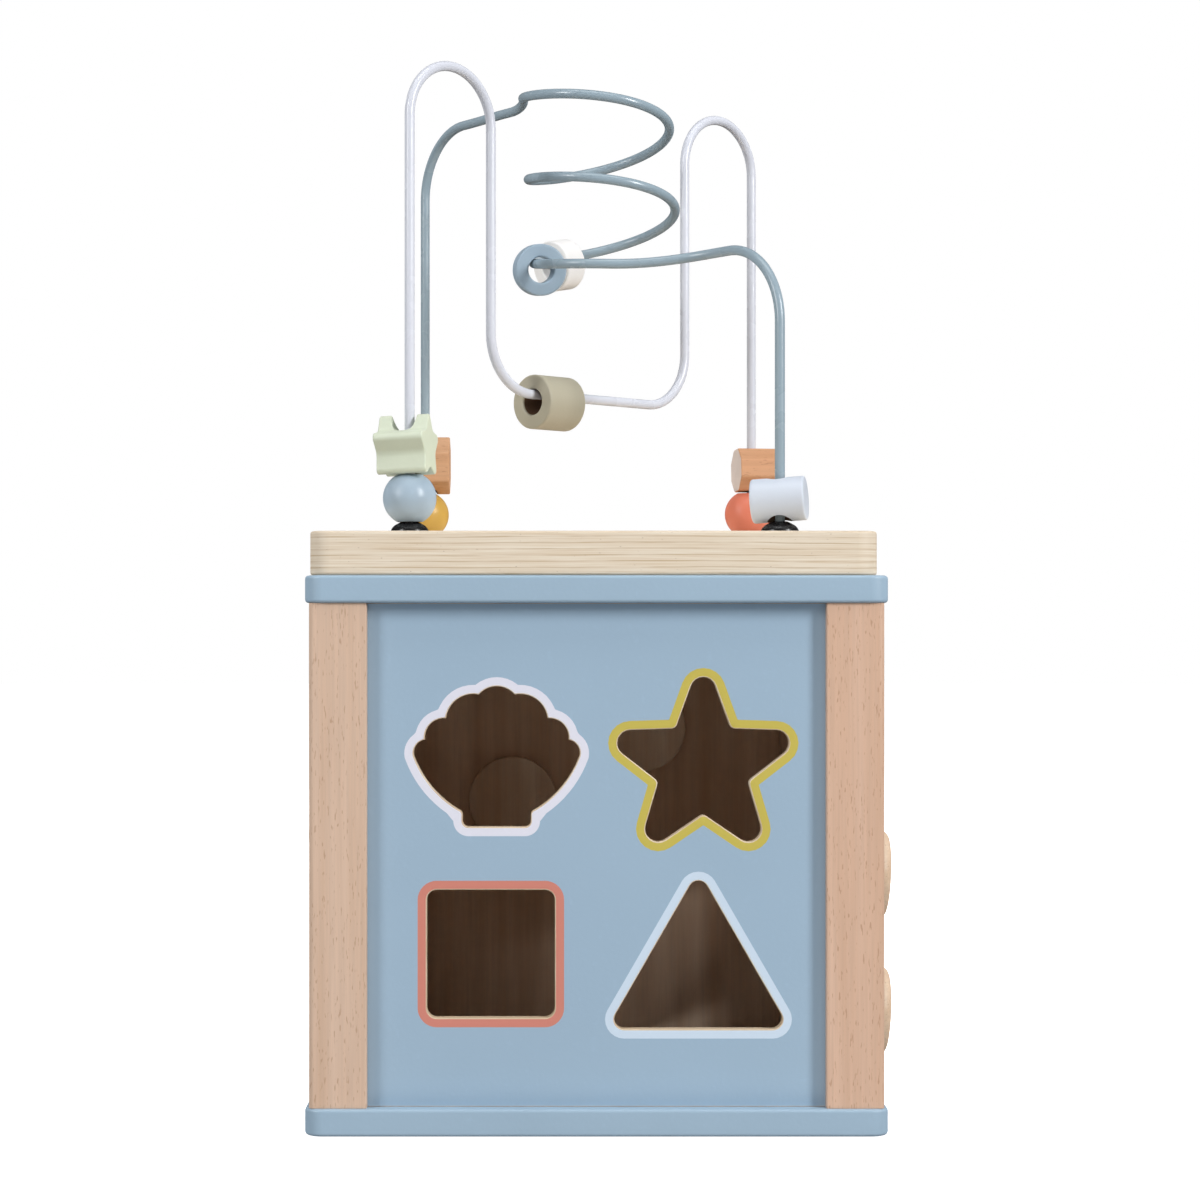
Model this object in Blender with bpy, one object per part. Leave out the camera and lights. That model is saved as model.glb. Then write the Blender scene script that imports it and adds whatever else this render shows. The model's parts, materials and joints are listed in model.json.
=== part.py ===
"""Wooden activity cube: a shape sorter box whose lift-off lid carries a bead maze.

The box stands on its base plate.  The origin is the centre of the base plate's
underside, +Z is up and -Y is the side with the four shape holes.  Dimensions are
named in millimetres and turned into metres where the meshes are made.
"""
import math

import bmesh
import bpy
from mathutils import Matrix, Vector

MM = 0.001
GAP = 0.3                    # clearance between pieces that touch

# Box: two plates, four grooved posts and four panels
PLATE_SIDE = 191.0
PLATE_THICK = 9.0
PLATE_CORNER = 6.0
EDGE_ROUND = 1.3
POST_OUTER = 94.0            # outer faces of the posts, from the centre
POST_SIDE = 19.0
POST_HEIGHT = 165.0
POST_CORNER = 2.0
PANEL_OUTER = 90.0           # outer faces of the panels, from the centre
PANEL_THICK = 5.0
GROOVE_DEPTH = 4.0
FRAME_OPENING = 148.0
OPENING_CORNER = 8.0
POST_LOW = PLATE_THICK
POST_HIGH = PLATE_THICK + POST_HEIGHT
BOX_TOP = POST_HIGH + PLATE_THICK

# Lid: a plywood board over a board that drops into the top frame's opening
LID_SIDE = 186.3
LID_SHIFT_X = -0.9
LID_LOW = BOX_TOP + 0.5
LID_TOP = 197.6
LID_CORNER = 7.0
LOCATOR_SIDE = 146.6
LOCATOR_THICK = 6.0

# Bead maze wires
WIRE_RADIUS = 1.7
WIRE_HOLE = 2.05
LEG = 62.5                   # each leg stands this far out in X and in Y
WIRE_END = 172.6
NUT_HIGH = LID_LOW - GAP - LOCATOR_THICK - GAP
NUT_THICK = 3.3
ARCH_TOP = 358.3
ARCH_RADIUS = 19.1
ARCH_INNER = 50.3            # inner leg of an arch, along the diagonal
U_LEVEL = 248.5
U_RADIUS = 20.0
COIL_RADIUS = 25.9
WHITE_BEAD_TURNS = 1.87      # how far round the coil each of its beads hangs
RING_BEAD_TURNS = 2.028
EVEN_TURNS = 1.883           # beyond this the coil sags under its beads
FRONT_TURNS = 2.25           # where the wire leaves the coil
RING_SAG = 1.15
FRONT_SAG = 0.5
COIL_PITCH = 29.5
COIL_CENTRE = (1.25, 0.0)
COIL_DRIFT = (1.95, -1.84)   # how far the leaning coil's centre moves in one turn
COIL_START_Z = 358.65
COIL_LEAN = 1.6

# Beads
BALL_RADIUS = 9.15
BALL_BORE = 4.25
CROSS_BORE = 4.75
DRUM_BORE = 4.2
OVAL_BORE = 2.6
OVAL_SHIFT = 2.4             # the oval hangs off centre on its leg
BALL_Z = 209.7
RING_RADIUS = 9.2
RING_BORE = 4.6
HANG = 2.6                   # how far a hanging bead's centre lies below its wire

# Shape holes: where each one's own origin is, and its size
SHELL_AT = (-32.7, 100.6)
STAR_AT = (35.0, 120.3)
SQUARE_AT = (-34.6, 59.0)
TRIANGLE_AT = (33.4, 34.3)
SQUARE_SIDE = 42.0
TRIANGLE_SIDE = 60.0
STAR_POINT = 37.8
STAR_NOTCH = 15.5
BLOCK_THICK = 12.0
BLOCK_CLEARANCE = 1.0

# Right side: two knobs that slide in level slots
SLIDER_HEIGHTS = {"upper": 80.8, "lower": 33.3}
SLIDER_Y = -30.0
SLIDER_LEAN = math.radians(3.0)
SLIDER_TRAVEL = 50.0
STEM_RADIUS = 3.7
SLOT_HALF_WIDTH = 4.3

# Back: two meshing gears on pegs
GEAR_CENTRES = {"left": (21.1, 127.7), "right": (-29.1, 99.1)}
GEAR_TEETH = 12
GEAR_LOW = 90.8
GEAR_HIGH = 98.3
PEG_RADIUS = 4.0
PEG_HOLE = 4.3

# Left side: a clock with two hands
CLOCK_HEIGHT = 92.0

WOOD_SCREW = 3.6


def clear_scene():
    for obj in list(bpy.data.objects):
        bpy.data.objects.remove(obj, do_unlink=True)


def linear(value):
    """One sRGB channel, 0 to 255, as the linear value a shader takes."""
    v = value / 255.0
    return v / 12.92 if v <= 0.04045 else ((v + 0.055) / 1.055) ** 2.4


def make_material(name, rgb, roughness, metallic=0.0):
    material = bpy.data.materials.new(name)
    material.use_nodes = True
    shader = material.node_tree.nodes["Principled BSDF"]
    shader.inputs["Base Color"].default_value = (*(linear(v) for v in rgb), 1.0)
    shader.inputs["Roughness"].default_value = roughness
    shader.inputs["Metallic"].default_value = metallic
    material.diffuse_color = shader.inputs["Base Color"].default_value
    return material


# ---------------------------------------------------------------- outlines

def circle(radius, sides, centre=(0.0, 0.0)):
    """A regular outline round a centre, anticlockwise."""
    turn = 2 * math.pi / sides
    return [(centre[0] + radius * math.cos(i * turn), centre[1] + radius * math.sin(i * turn))
            for i in range(sides)]


def rounded_polygon(corners, radii, steps=4):
    """An outline whose corners are arcs that touch both neighbouring sides."""
    points = []
    count = len(corners)
    for i, corner in enumerate(corners):
        here = Vector(corner)
        back = (Vector(corners[i - 1]) - here).normalized()
        ahead = (Vector(corners[(i + 1) % count]) - here).normalized()
        half = back.angle(ahead) / 2
        radius = radii[i % len(radii)]
        middle = here + (back + ahead).normalized() * (radius / math.sin(half))
        start = here + back * (radius / math.tan(half)) - middle
        end = here + ahead * (radius / math.tan(half)) - middle
        sweep = start.angle_signed(end)
        for k in range(steps + 1):
            angle = -sweep * k / steps
            points.append(tuple(middle + Matrix.Rotation(angle, 2) @ start))
    return points


def rectangle(width, height, radius, centre=(0.0, 0.0), steps=3):
    x = width / 2
    y = height / 2
    corners = [(-x, -y), (x, -y), (x, y), (-x, y)]
    corners = [(centre[0] + u, centre[1] + v) for u, v in corners]
    return rounded_polygon(corners, [radius], steps)


def star(point, notch, point_round, notch_round, steps=4):
    """A five-pointed star with one point up."""
    corners = []
    for i in range(10):
        radius = notch if i % 2 else point
        angle = math.pi / 2 + i * math.pi / 5
        corners.append((radius * math.cos(angle), radius * math.sin(angle)))
    return rounded_polygon(corners, [point_round, notch_round], steps)


def bulge(start, end, rise, steps):
    """Points of an arc from start, end left out, that rises to the right of its chord."""
    a = Vector(start)
    b = Vector(end)
    chord = b - a
    if rise == 0:
        return [tuple(a)]
    radius = (chord.length_squared / 4 + rise * rise) / (2 * rise)
    right = Vector((chord.y, -chord.x)).normalized()
    middle = (a + b) / 2 + right * (rise - radius)
    sweep = 2 * math.asin(chord.length / (2 * radius))
    return [tuple(middle + Matrix.Rotation(sweep * k / steps, 2) @ (a - middle))
            for k in range(steps)]


def shell(steps=4):
    """A scallop shell on a short foot, its origin in the middle of the foot's base."""
    half = [(9.2, 0.0, 0.6), (11.2, 2.0, 0.0), (11.2, 4.2, -0.3), (12.6, 5.7, 2.0),
            (27.2, 23.4, 1.3), (23.6, 28.6, 2.3), (16.7, 35.6, 2.9), (5.9, 43.4, 2.7)]
    corners = [(x, z) for x, z, _ in half] + [(-x, z) for x, z, _ in reversed(half)]
    rises = [rise for _, _, rise in half]
    rises = rises + list(reversed(rises[:-1])) + [0.0]
    points = []
    for i, corner in enumerate(corners):
        points += bulge(corner, corners[(i + 1) % len(corners)], rises[i], steps)
    return points


def square_shape(steps=4):
    return rectangle(SQUARE_SIDE, SQUARE_SIDE, 3.3, steps=steps)


def triangle_shape(steps=4):
    """An equilateral triangle on its base, its origin in the middle of the base."""
    half = TRIANGLE_SIDE / 2
    corners = [(-half, 0.0), (half, 0.0), (0.0, half * math.sqrt(3))]
    return rounded_polygon(corners, [3.3], steps)


def star_shape(steps=4):
    return star(STAR_POINT, STAR_NOTCH, 4.3, 2.0, steps)


def moved(outline, centre):
    return [(x + centre[0], y + centre[1]) for x, y in outline]


def inset(outline, distance):
    """The outline moved inwards by a small distance all round."""
    points = []
    count = len(outline)
    for i, point in enumerate(outline):
        along = Vector(outline[(i + 1) % count]) - Vector(outline[i - 1])
        inwards = Vector((-along.y, along.x)).normalized()
        points.append(tuple(Vector(point) + inwards * distance))
    return points


# ------------------------------------------------------------------ solids

def place(axis, a, b, c):
    """A point of an outline (a, b) at height c along an axis, in metres."""
    order = {"X": (c, a, b), "Y": (a, c, b), "Z": (a, b, c)}[axis]
    return Vector(order) * MM


def prism(outline, low, high, axis="Z", holes=()):
    """A closed solid: an outline with holes, carried from low to high along an axis."""
    bm = bmesh.new()
    edges = []
    for loop in (outline, *holes):
        verts = [bm.verts.new(place(axis, a, b, low)) for a, b in loop]
        edges += [bm.edges.new((verts[i - 1], verts[i])) for i in range(len(verts))]
    bmesh.ops.triangle_fill(bm, edges=edges, use_beauty=True, use_dissolve=False)
    top = bmesh.ops.extrude_face_region(bm, geom=list(bm.faces))["geom"]
    lift = place(axis, 0, 0, high) - place(axis, 0, 0, low)
    bmesh.ops.translate(bm, verts=[v for v in top if isinstance(v, bmesh.types.BMVert)], vec=lift)
    bmesh.ops.recalc_face_normals(bm, faces=bm.faces)
    return bm


def turned(profile, sides, axis="Z", closed=False):
    """A turned solid: (radius, height) points, ending on the axis or closed round a bore."""
    bm = bmesh.new()
    rings = []
    for radius, height in profile:
        outline = circle(radius, sides) if radius > 0 else [(0.0, 0.0)]
        rings.append([bm.verts.new(place(axis, a, b, height)) for a, b in outline])
    pairs = list(zip(rings, rings[1:]))
    if closed:
        pairs.append((rings[-1], rings[0]))
    for lower, upper in pairs:
        for i in range(sides):
            corners = [lower[i % len(lower)], lower[(i + 1) % sides % len(lower)],
                       upper[(i + 1) % sides % len(upper)], upper[i % len(upper)]]
            bm.faces.new(list(dict.fromkeys(corners)))
    bmesh.ops.recalc_face_normals(bm, faces=bm.faces)
    return bm


def add_object(name, bm, material, location=(0.0, 0.0, 0.0), rotation=(0.0, 0.0, 0.0)):
    mesh = bpy.data.meshes.new(name)
    bm.to_mesh(mesh)
    bm.free()
    mesh.shade_smooth()
    mesh.set_sharp_from_angle(angle=math.radians(35))
    mesh.materials.append(material)
    obj = bpy.data.objects.new(name, mesh)
    obj.location = Vector(location) * MM
    obj.rotation_euler = rotation
    bpy.context.scene.collection.objects.link(obj)
    return obj


def attach(child, parent):
    """Parent without moving the child."""
    bpy.context.view_layer.update()
    child.parent = parent
    child.matrix_parent_inverse = parent.matrix_world.inverted()


def joint_empty(name, location, parent=None):
    """An empty on a joint's axis, for the pieces that move with it."""
    empty = bpy.data.objects.new(name, None)
    empty.location = Vector(location) * MM
    empty.empty_display_size = 0.01
    bpy.context.scene.collection.objects.link(empty)
    if parent:
        attach(empty, parent)
    return empty


def round_edges(obj, width, segments=1):
    bevel = obj.modifiers.new("eased_edges", "BEVEL")
    bevel.width = width * MM
    bevel.segments = segments
    bevel.limit_method = "ANGLE"
    bevel.angle_limit = math.radians(50)


def cut(obj, bm, name, location=(0.0, 0.0, 0.0), rotation=(0.0, 0.0, 0.0)):
    """Cut a hidden solid out of an object."""
    mesh = bpy.data.meshes.new(name)
    bm.to_mesh(mesh)
    bm.free()
    cutter = bpy.data.objects.new(name, mesh)
    cutter.location = Vector(location) * MM
    cutter.rotation_euler = rotation
    cutter.hide_render = True
    cutter.display_type = "WIRE"
    bpy.context.scene.collection.objects.link(cutter)
    modifier = obj.modifiers.new(name, "BOOLEAN")
    modifier.operation = "DIFFERENCE"
    modifier.solver = "EXACT"
    modifier.object = cutter
    attach(cutter, obj)


# --------------------------------------------------------------------- box

def corner_signs():
    return {"front_left": (-1, -1), "front_right": (1, -1),
            "back_left": (-1, 1), "back_right": (1, 1)}


def wood_screw(grow=0.0):
    """A countersunk screw pointing up, or with grow the hole that it needs."""
    head = WOOD_SCREW + grow
    shank = 1.8 + grow
    return turned([(0, 0.5 - 4 * grow), (head, 0.5 - 4 * grow), (head, 0.8), (shank, 3.4),
                   (shank, 24), (0, 26 + grow)], 8)


def post_outline(sx, sy):
    """A square post with a groove in each inner face for the panels."""
    inner = POST_OUTER - POST_SIDE
    groove_low = PANEL_OUTER - PANEL_THICK - GAP
    groove_high = PANEL_OUTER + GAP
    depth = inner + GROOVE_DEPTH
    quarter = [(inner, inner), (groove_low, inner), (groove_low, depth),
               (groove_high, depth), (groove_high, inner), (POST_OUTER, inner)]
    arc = circle(POST_CORNER, 12, (POST_OUTER - POST_CORNER, POST_OUTER - POST_CORNER))[:4]
    mirrored = [(y, x) for x, y in reversed(quarter[1:])]
    outline = [(x * sx, y * sy) for x, y in quarter + arc + mirrored]
    return outline if sx * sy > 0 else outline[::-1]


def build_plates(paint):
    base = add_object("base_plate", prism(rectangle(PLATE_SIDE, PLATE_SIDE, PLATE_CORNER),
                                          0, PLATE_THICK), paint)
    opening = rectangle(FRAME_OPENING, FRAME_OPENING, OPENING_CORNER)[::-1]
    frame = add_object("top_frame_plate",
                       prism(rectangle(PLATE_SIDE, PLATE_SIDE, PLATE_CORNER),
                             POST_HIGH, BOX_TOP, holes=[opening]), paint)
    for plate in (base, frame):
        round_edges(plate, EDGE_ROUND)
    return base, frame


def build_posts(base, frame, wood, steel):
    """Posts, and the screws that hold them between the two plates."""
    middle = POST_OUTER - POST_SIDE / 2
    upside_down = (math.pi, 0.0, 0.0)
    for corner, (sx, sy) in corner_signs().items():
        post = add_object("post_" + corner,
                          prism(post_outline(sx, sy), POST_LOW + GAP, POST_HIGH - GAP), wood)
        for plate, end, height, turn in ((base, "base", 0.0, (0.0, 0.0, 0.0)),
                                         (frame, "frame", BOX_TOP, upside_down)):
            at = (middle * sx, middle * sy, height)
            add_object("%s_screw_%s" % (end, corner), wood_screw(), steel, at, turn)
            for piece in (plate, post):
                cut(piece, wood_screw(GAP), "cut_%s_%s_%s" % (piece.name, end, corner), at, turn)


def panel_outline():
    half = POST_OUTER - POST_SIDE + GROOVE_DEPTH - GAP
    low = POST_LOW + GAP
    high = POST_HIGH - GAP
    return [(-half, low), (half, low), (half, high), (-half, high)]


def build_front_panel(paint):
    holes = [moved(shell(), SHELL_AT), moved(star_shape(), STAR_AT),
             moved(square_shape(), SQUARE_AT), moved(triangle_shape(), TRIANGLE_AT)]
    bm = prism(panel_outline(), -PANEL_OUTER, PANEL_THICK - PANEL_OUTER, "Y", holes)
    return add_object("front_panel", bm, paint)


def build_right_side(paint, wood):
    """The slotted panel and its two leaning knobs, each with a retainer inside."""
    slot = 2 * (SLIDER_TRAVEL + SLOT_HALF_WIDTH)
    holes = [rectangle(slot, 2 * SLOT_HALF_WIDTH, SLOT_HALF_WIDTH - 0.01, (0.0, z))
             for z in SLIDER_HEIGHTS.values()]
    bm = prism(panel_outline(), PANEL_OUTER - PANEL_THICK, PANEL_OUTER, "X", holes)
    add_object("right_panel", bm, paint)
    knob = [(0, -11.0), (STEM_RADIUS, -11.0), (STEM_RADIUS, 2.6), (14.2, 2.6), (15.75, 4.4),
            (15.75, 10.6), (13.8, 12.6), (0, 12.8)]
    retainer = [(STEM_RADIUS + GAP, -10.4), (12.0, -10.4), (12.0, -6.4),
                (STEM_RADIUS + GAP, -6.4)]
    for level, height in SLIDER_HEIGHTS.items():
        at = (PANEL_OUTER, SLIDER_Y, height)
        axis = joint_empty("slider_axis_" + level, at)
        lean = (0.0, SLIDER_LEAN, 0.0)
        attach(add_object("slider_knob_" + level, turned(knob, 20, "X"), wood, at, lean), axis)
        ring = turned(retainer, 20, "X", closed=True)
        attach(add_object("slider_retainer_" + level, ring, wood, at, lean), axis)


def blind_disc(radius):
    """The profile of a disc glued inside a panel, with a blind hole for its peg."""
    face = -PANEL_THICK - GAP
    back = face - PANEL_THICK
    return [(0, back), (radius, back), (radius, face), (PEG_HOLE, face),
            (PEG_HOLE, back + 1.4), (0, back + 1.4)]


def gear_outline(phase):
    """Blunt wooden teeth; the rounded flanks are part of a raised cosine."""
    pitch = math.dist(*GEAR_CENTRES.values()) / 2
    samples = 6
    points = []
    for i in range(GEAR_TEETH * samples):
        angle = 2 * math.pi * i / (GEAR_TEETH * samples)
        wave = math.cos(GEAR_TEETH * (angle - phase))
        height = max(-1.0, min(1.0, 1.5 * wave)) * 3.6 - 0.5
        radius = pitch + height
        points.append((radius * math.cos(angle), radius * math.sin(angle)))
    return points


def build_back_side(paint, gear_paints, wood):
    """Two gears in mesh, each turning on a peg glued into a disc inside the box."""
    holes = [circle(PEG_HOLE, 16, centre) for centre in GEAR_CENTRES.values()]
    bm = prism(panel_outline(), PANEL_OUTER - PANEL_THICK, PANEL_OUTER, "Y", holes)
    add_object("back_panel", bm, paint)
    peg = [(0, -8.6), (PEG_RADIUS, -8.6), (PEG_RADIUS, 8.9), (7.6, 8.9), (8.4, 9.9),
           (6.6, 11.6), (0, 12.2)]
    disc = blind_disc(17.2)
    (ax, az), (bx, bz) = GEAR_CENTRES.values()
    towards = math.atan2(bz - az, bx - ax)
    phases = {"left": towards, "right": towards + math.pi + math.pi / GEAR_TEETH}
    for side, (x, z) in GEAR_CENTRES.items():
        at = (x, PANEL_OUTER, z)
        bore = circle(PEG_HOLE + 0.2, 16)
        bm = prism(gear_outline(phases[side]), GEAR_LOW - PANEL_OUTER, GEAR_HIGH - PANEL_OUTER,
                   "Y", [bore])
        add_object("gear_" + side, bm, gear_paints[side], at)
        add_object("gear_peg_" + side, turned(peg, 16, "Y"), wood, at)
        add_object("gear_disc_" + side, turned(disc, 24, "Y"), wood, at)


def hand_outline(length, half_width, tail):
    """A clock hand pointing up: a round boss and a bar with a blunt point."""
    corners = [(-half_width, -tail), (half_width, -tail), (half_width, length - 5),
               (0.0, length + 2), (-half_width, length - 5)]
    return rounded_polygon(corners, [half_width - 0.2, half_width - 0.2, 2.5, 1.5, 2.5], 3)


def build_left_side(paint, hour_paint, minute_paint, wood):
    """A clock: two hands that turn one above the other on a peg."""
    hole = circle(PEG_HOLE, 16, (0.0, CLOCK_HEIGHT))
    bm = prism(panel_outline(), -PANEL_OUTER, PANEL_THICK - PANEL_OUTER, "X", [hole])
    add_object("left_panel", bm, paint)
    at = (-PANEL_OUTER, 0.0, CLOCK_HEIGHT)
    bore = circle(PEG_HOLE + 0.2, 16)
    hands = (("clock_hour_hand", 26, 8.0, -4.3, -0.8, math.radians(50), hour_paint),
             ("clock_minute_hand", 40, 7.0, -8.4, -4.9, math.radians(-60), minute_paint))
    for name, length, half_width, low, high, turn, colour in hands:
        bm = prism(hand_outline(length, half_width, 10), low, high, "X", [bore])
        add_object(name, bm, colour, at, (turn, 0.0, 0.0))
    peg = [(0, 8.6), (PEG_RADIUS, 8.6), (PEG_RADIUS, -8.9), (6.6, -8.9), (7.2, -9.8),
           (5.6, -11.4), (0, -11.9)]
    disc = [(radius, -height) for radius, height in blind_disc(13.0)]
    add_object("clock_peg", turned(peg, 16, "X"), wood, at)
    add_object("clock_disc", turned(disc, 20, "X"), wood, at)


# --------------------------------------------------------------------- lid

def build_lid(wood, base_wood, black, steel, axis):
    """Both boards of the lid, and a foot and a nut on each wire leg."""
    holes = [circle(WIRE_HOLE, 12, (sx * LEG, sy * LEG)) for sx, sy in corner_signs().values()]
    board = rectangle(LID_SIDE, LID_SIDE, LID_CORNER, (LID_SHIFT_X, 0.0))
    lid = add_object("lid_board", prism(board, LID_LOW, LID_TOP), wood)
    round_edges(lid, 0.8)
    for corner, hole in zip(corner_signs(), holes):
        cut(lid, prism(hole, LID_LOW - 1, LID_TOP + 1), "cut_lid_" + corner)
    attach(lid, axis)
    low = NUT_HIGH + GAP
    locator = prism(rectangle(LOCATOR_SIDE, LOCATOR_SIDE, OPENING_CORNER), low,
                    low + LOCATOR_THICK, holes=holes)
    attach(add_object("lid_locating_board", locator, base_wood), axis)
    foot = [(WIRE_HOLE, 0.3), (6.3, 0.3), (6.45, 0.9), (6.1, 1.9), (5.2, 2.9), (4.1, 3.6),
            (WIRE_HOLE, 4.2)]
    for corner, (sx, sy) in corner_signs().items():
        at = (sx * LEG, sy * LEG, LID_TOP)
        dome = turned(foot, 16, closed=True)
        attach(add_object("wire_foot_" + corner, dome, black, at), axis)
        nut = prism(circle(4.0, 6), -NUT_THICK, 0, holes=[circle(WIRE_HOLE, 12)])
        at = (sx * LEG, sy * LEG, NUT_HIGH)
        attach(add_object("wire_nut_" + corner, nut, steel, at), axis)


def sweep_through(stations, steps):
    """Points along a wire: straight between stations in line, and curved between the rest."""
    points = [Vector(stations[0][0])]
    for (p0, d0), (p1, d1) in zip(stations, stations[1:]):
        p0, d0, p1, d1 = (Vector(v) for v in (p0, d0, p1, d1))
        chord = p1 - p0
        if chord.angle(d0) < 0.01 and chord.angle(d1) < 0.01:
            points.append(p1)
            continue
        reach = chord.length * 0.39
        a = p0 + d0.normalized() * reach
        b = p1 - d1.normalized() * reach
        for k in range(1, steps + 1):
            t = k / steps
            s = 1 - t
            points.append(p0 * s ** 3 + a * 3 * s * s * t + b * 3 * s * t * t + p1 * t ** 3)
    return points


def coil_point(turns, sag=0.0):
    """A point of the coil: it winds down from its left side, and leans a little."""
    angle = math.pi + 2 * math.pi * turns
    c = math.cos(angle)
    s = math.sin(angle)
    return Vector((COIL_CENTRE[0] + COIL_DRIFT[0] * turns + COIL_RADIUS * c,
                   COIL_CENTRE[1] + COIL_DRIFT[1] * turns + COIL_RADIUS * s,
                   COIL_START_Z - COIL_PITCH * turns + COIL_LEAN * (c - s) - sag))


def coil_heading(turns):
    step = 0.001
    return (coil_point(turns + step) - coil_point(turns - step)).normalized()


def white_route(steps):
    """Two arches and a U between them, in the upright plane on the diagonal."""
    def at(u, z):
        return (u / math.sqrt(2), u / math.sqrt(2), z)

    up = (0, 0, 1)
    down = (0, 0, -1)
    across = (1, 1, 0)
    outer = LEG * math.sqrt(2)
    top = (outer + ARCH_INNER) / 2
    spring = ARCH_TOP - ARCH_RADIUS
    stations = [(at(-outer, WIRE_END), up), (at(-outer, spring), up),
                (at(-top, ARCH_TOP), across), (at(-ARCH_INNER, spring), down),
                (at(-ARCH_INNER, U_LEVEL + U_RADIUS), down),
                (at(U_RADIUS - ARCH_INNER, U_LEVEL), across),
                (at(ARCH_INNER - U_RADIUS, U_LEVEL), across),
                (at(ARCH_INNER, U_LEVEL + U_RADIUS), up), (at(ARCH_INNER, spring), up),
                (at(top, ARCH_TOP), across), (at(outer, spring), down),
                (at(outer, WIRE_END), down)]
    return sweep_through(stations, steps)


def blue_route(steps, coil_steps):
    """Up the back left leg, across, round the coil and down the front right leg."""
    towards = (0.611, -0.791, 0)
    start = [((-LEG, LEG, WIRE_END), (0, 0, 1)), ((-LEG, LEG, 330.0), (0, 0, 1)),
             ((-47.2, 42.7, 355.3), towards), ((-29.5, 19.8, 355.8), towards),
             ((-24.5, 6.0, 357.2), (0, -1, 0)), (coil_point(0), coil_heading(0))]
    end = [(coil_point(EVEN_TURNS), coil_heading(EVEN_TURNS)),
           (coil_point(RING_BEAD_TURNS, RING_SAG), (0.174, -0.985, -0.16)),
           (coil_point(FRONT_TURNS, FRONT_SAG), (1, 0, -0.02)),
           ((46.8, -42.3, 296.2), towards), ((LEG, -LEG, 269.5), (0, 0, -1)),
           ((LEG, -LEG, WIRE_END), (0, 0, -1))]
    count = round(EVEN_TURNS * coil_steps)
    coil = [coil_point(EVEN_TURNS * k / count) for k in range(1, count)]
    return sweep_through(start, steps) + coil + sweep_through(end, steps)


def build_wire(name, points, material, axis):
    curve = bpy.data.curves.new(name, "CURVE")
    curve.dimensions = "3D"
    curve.bevel_depth = WIRE_RADIUS * MM
    curve.bevel_resolution = 2
    curve.use_fill_caps = True
    spline = curve.splines.new("POLY")
    spline.points.add(len(points) - 1)
    for item, point in zip(spline.points, points):
        item.co = (*(point * MM), 1.0)
    curve.materials.append(material)
    obj = bpy.data.objects.new(name, curve)
    bpy.context.scene.collection.objects.link(obj)
    attach(obj, axis)


# ------------------------------------------------------------------- beads

def ball():
    """A bead turned to a ball, with flats where the bore comes out."""
    low = -math.asin(math.sqrt(BALL_RADIUS ** 2 - BALL_BORE ** 2) / BALL_RADIUS)
    arcs = [low - 2 * low * k / 7 for k in range(8)]
    profile = [(BALL_RADIUS * math.cos(a), BALL_RADIUS * math.sin(a)) for a in arcs]
    return turned(profile, 16, closed=True)


def tube_bead(length, radius, bore):
    half = length / 2
    chamfer = 0.6
    return turned([(bore, -half), (radius - chamfer, -half), (radius, chamfer - half),
                   (radius, half - chamfer), (radius - chamfer, half), (bore, half)], 20,
                  closed=True)


def cross_bead(name, bm, material, at, turns, bore, bore_shift=0.0):
    """A bead that lies across its wire, with the bore cut through its side."""
    rotation = [math.radians(turn) for turn in turns]
    bead = add_object(name, bm, material, at, rotation)
    through = (at[0] + bore_shift, at[1], at[2])
    cut(bead, prism(circle(bore, 16), -16, 16), "bore_" + name, through, rotation)
    return bead


def regular(sides, radius, roundness, roll=0.0):
    """A regular outline, level at its top or with a corner up, rolled by an angle in degrees."""
    angles = [math.radians(roll + 360 * (i + 0.5) / sides) for i in range(sides)]
    corners = [(radius * math.cos(a), radius * math.sin(a)) for a in angles]
    return rounded_polygon(corners, [roundness], 3)


def build_stacks(paints, lid_axis):
    """The beads on the four upright legs: three balls with a bead on top, and one alone."""
    balls = {"front_left": (0.0, 0.0, "blue"), "back_left": (0.0, 0.0, "yellow"),
             "back_right": (-1.1, 0.3, "coral")}
    tops = {
        "front_left": ("star_bead", star(12.8, 6.8, 1.7, 3.0, 3), 17.2, (-1.3, 226.9),
                       (0, -2, -13), (CROSS_BORE, 0.0), "mint"),
        "back_left": ("hexagon_bead", regular(6, 11.1, 1.2, 6), 19.0, (0.0, 228.6),
                      (0, 0, 0), (CROSS_BORE, 0.0), "beech"),
        "back_right": ("oval_bead", regular(8, 8.8, 1.5), 17.0, (OVAL_SHIFT, 226.75),
                       (-4, 0, 10), (OVAL_BORE, -OVAL_SHIFT), "beech"),
    }
    for corner, (name, outline, length, (shift, height), turns, bore, paint) in tops.items():
        sx, sy = corner_signs()[corner]
        aside, rise, ball_paint = balls[corner]
        at = (sx * LEG + aside, sy * LEG, BALL_Z + rise)
        low_axis = joint_empty("ball_axis_" + corner, at, lid_axis)
        attach(add_object("ball_bead_" + corner, ball(), paints[ball_paint], at), low_axis)
        at = (sx * LEG + shift, sy * LEG, height)
        top_axis = joint_empty("top_axis_" + corner, at, low_axis)
        bm = prism(outline, -length / 2, length / 2, "X")
        attach(cross_bead(name + "_" + corner, bm, paints[paint], at, turns, *bore), top_axis)
    at = (LEG - 0.25, -LEG, 209.2)
    axis = joint_empty("drum_axis_front_right", at, lid_axis)
    profile = [(0, -9.2), (6.9, -9.2), (7.5, -8.6), (7.5, 8.6), (6.9, 9.2), (0, 9.2)]
    bead = cross_bead("drum_bead_front_right", turned(profile, 20, "X"), paints["white"], at,
                      (-10, -3.5, -13), DRUM_BORE)
    attach(bead, axis)


def threaded_bead(name, bm, material, at, heading, axis_parent):
    """A bead hanging on a wire that runs along a heading."""
    rotation = Vector(heading).to_track_quat("Z", "Y").to_euler()
    axis = joint_empty(name + "_axis", at, axis_parent)
    attach(add_object(name, bm, material, at, rotation), axis)


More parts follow.
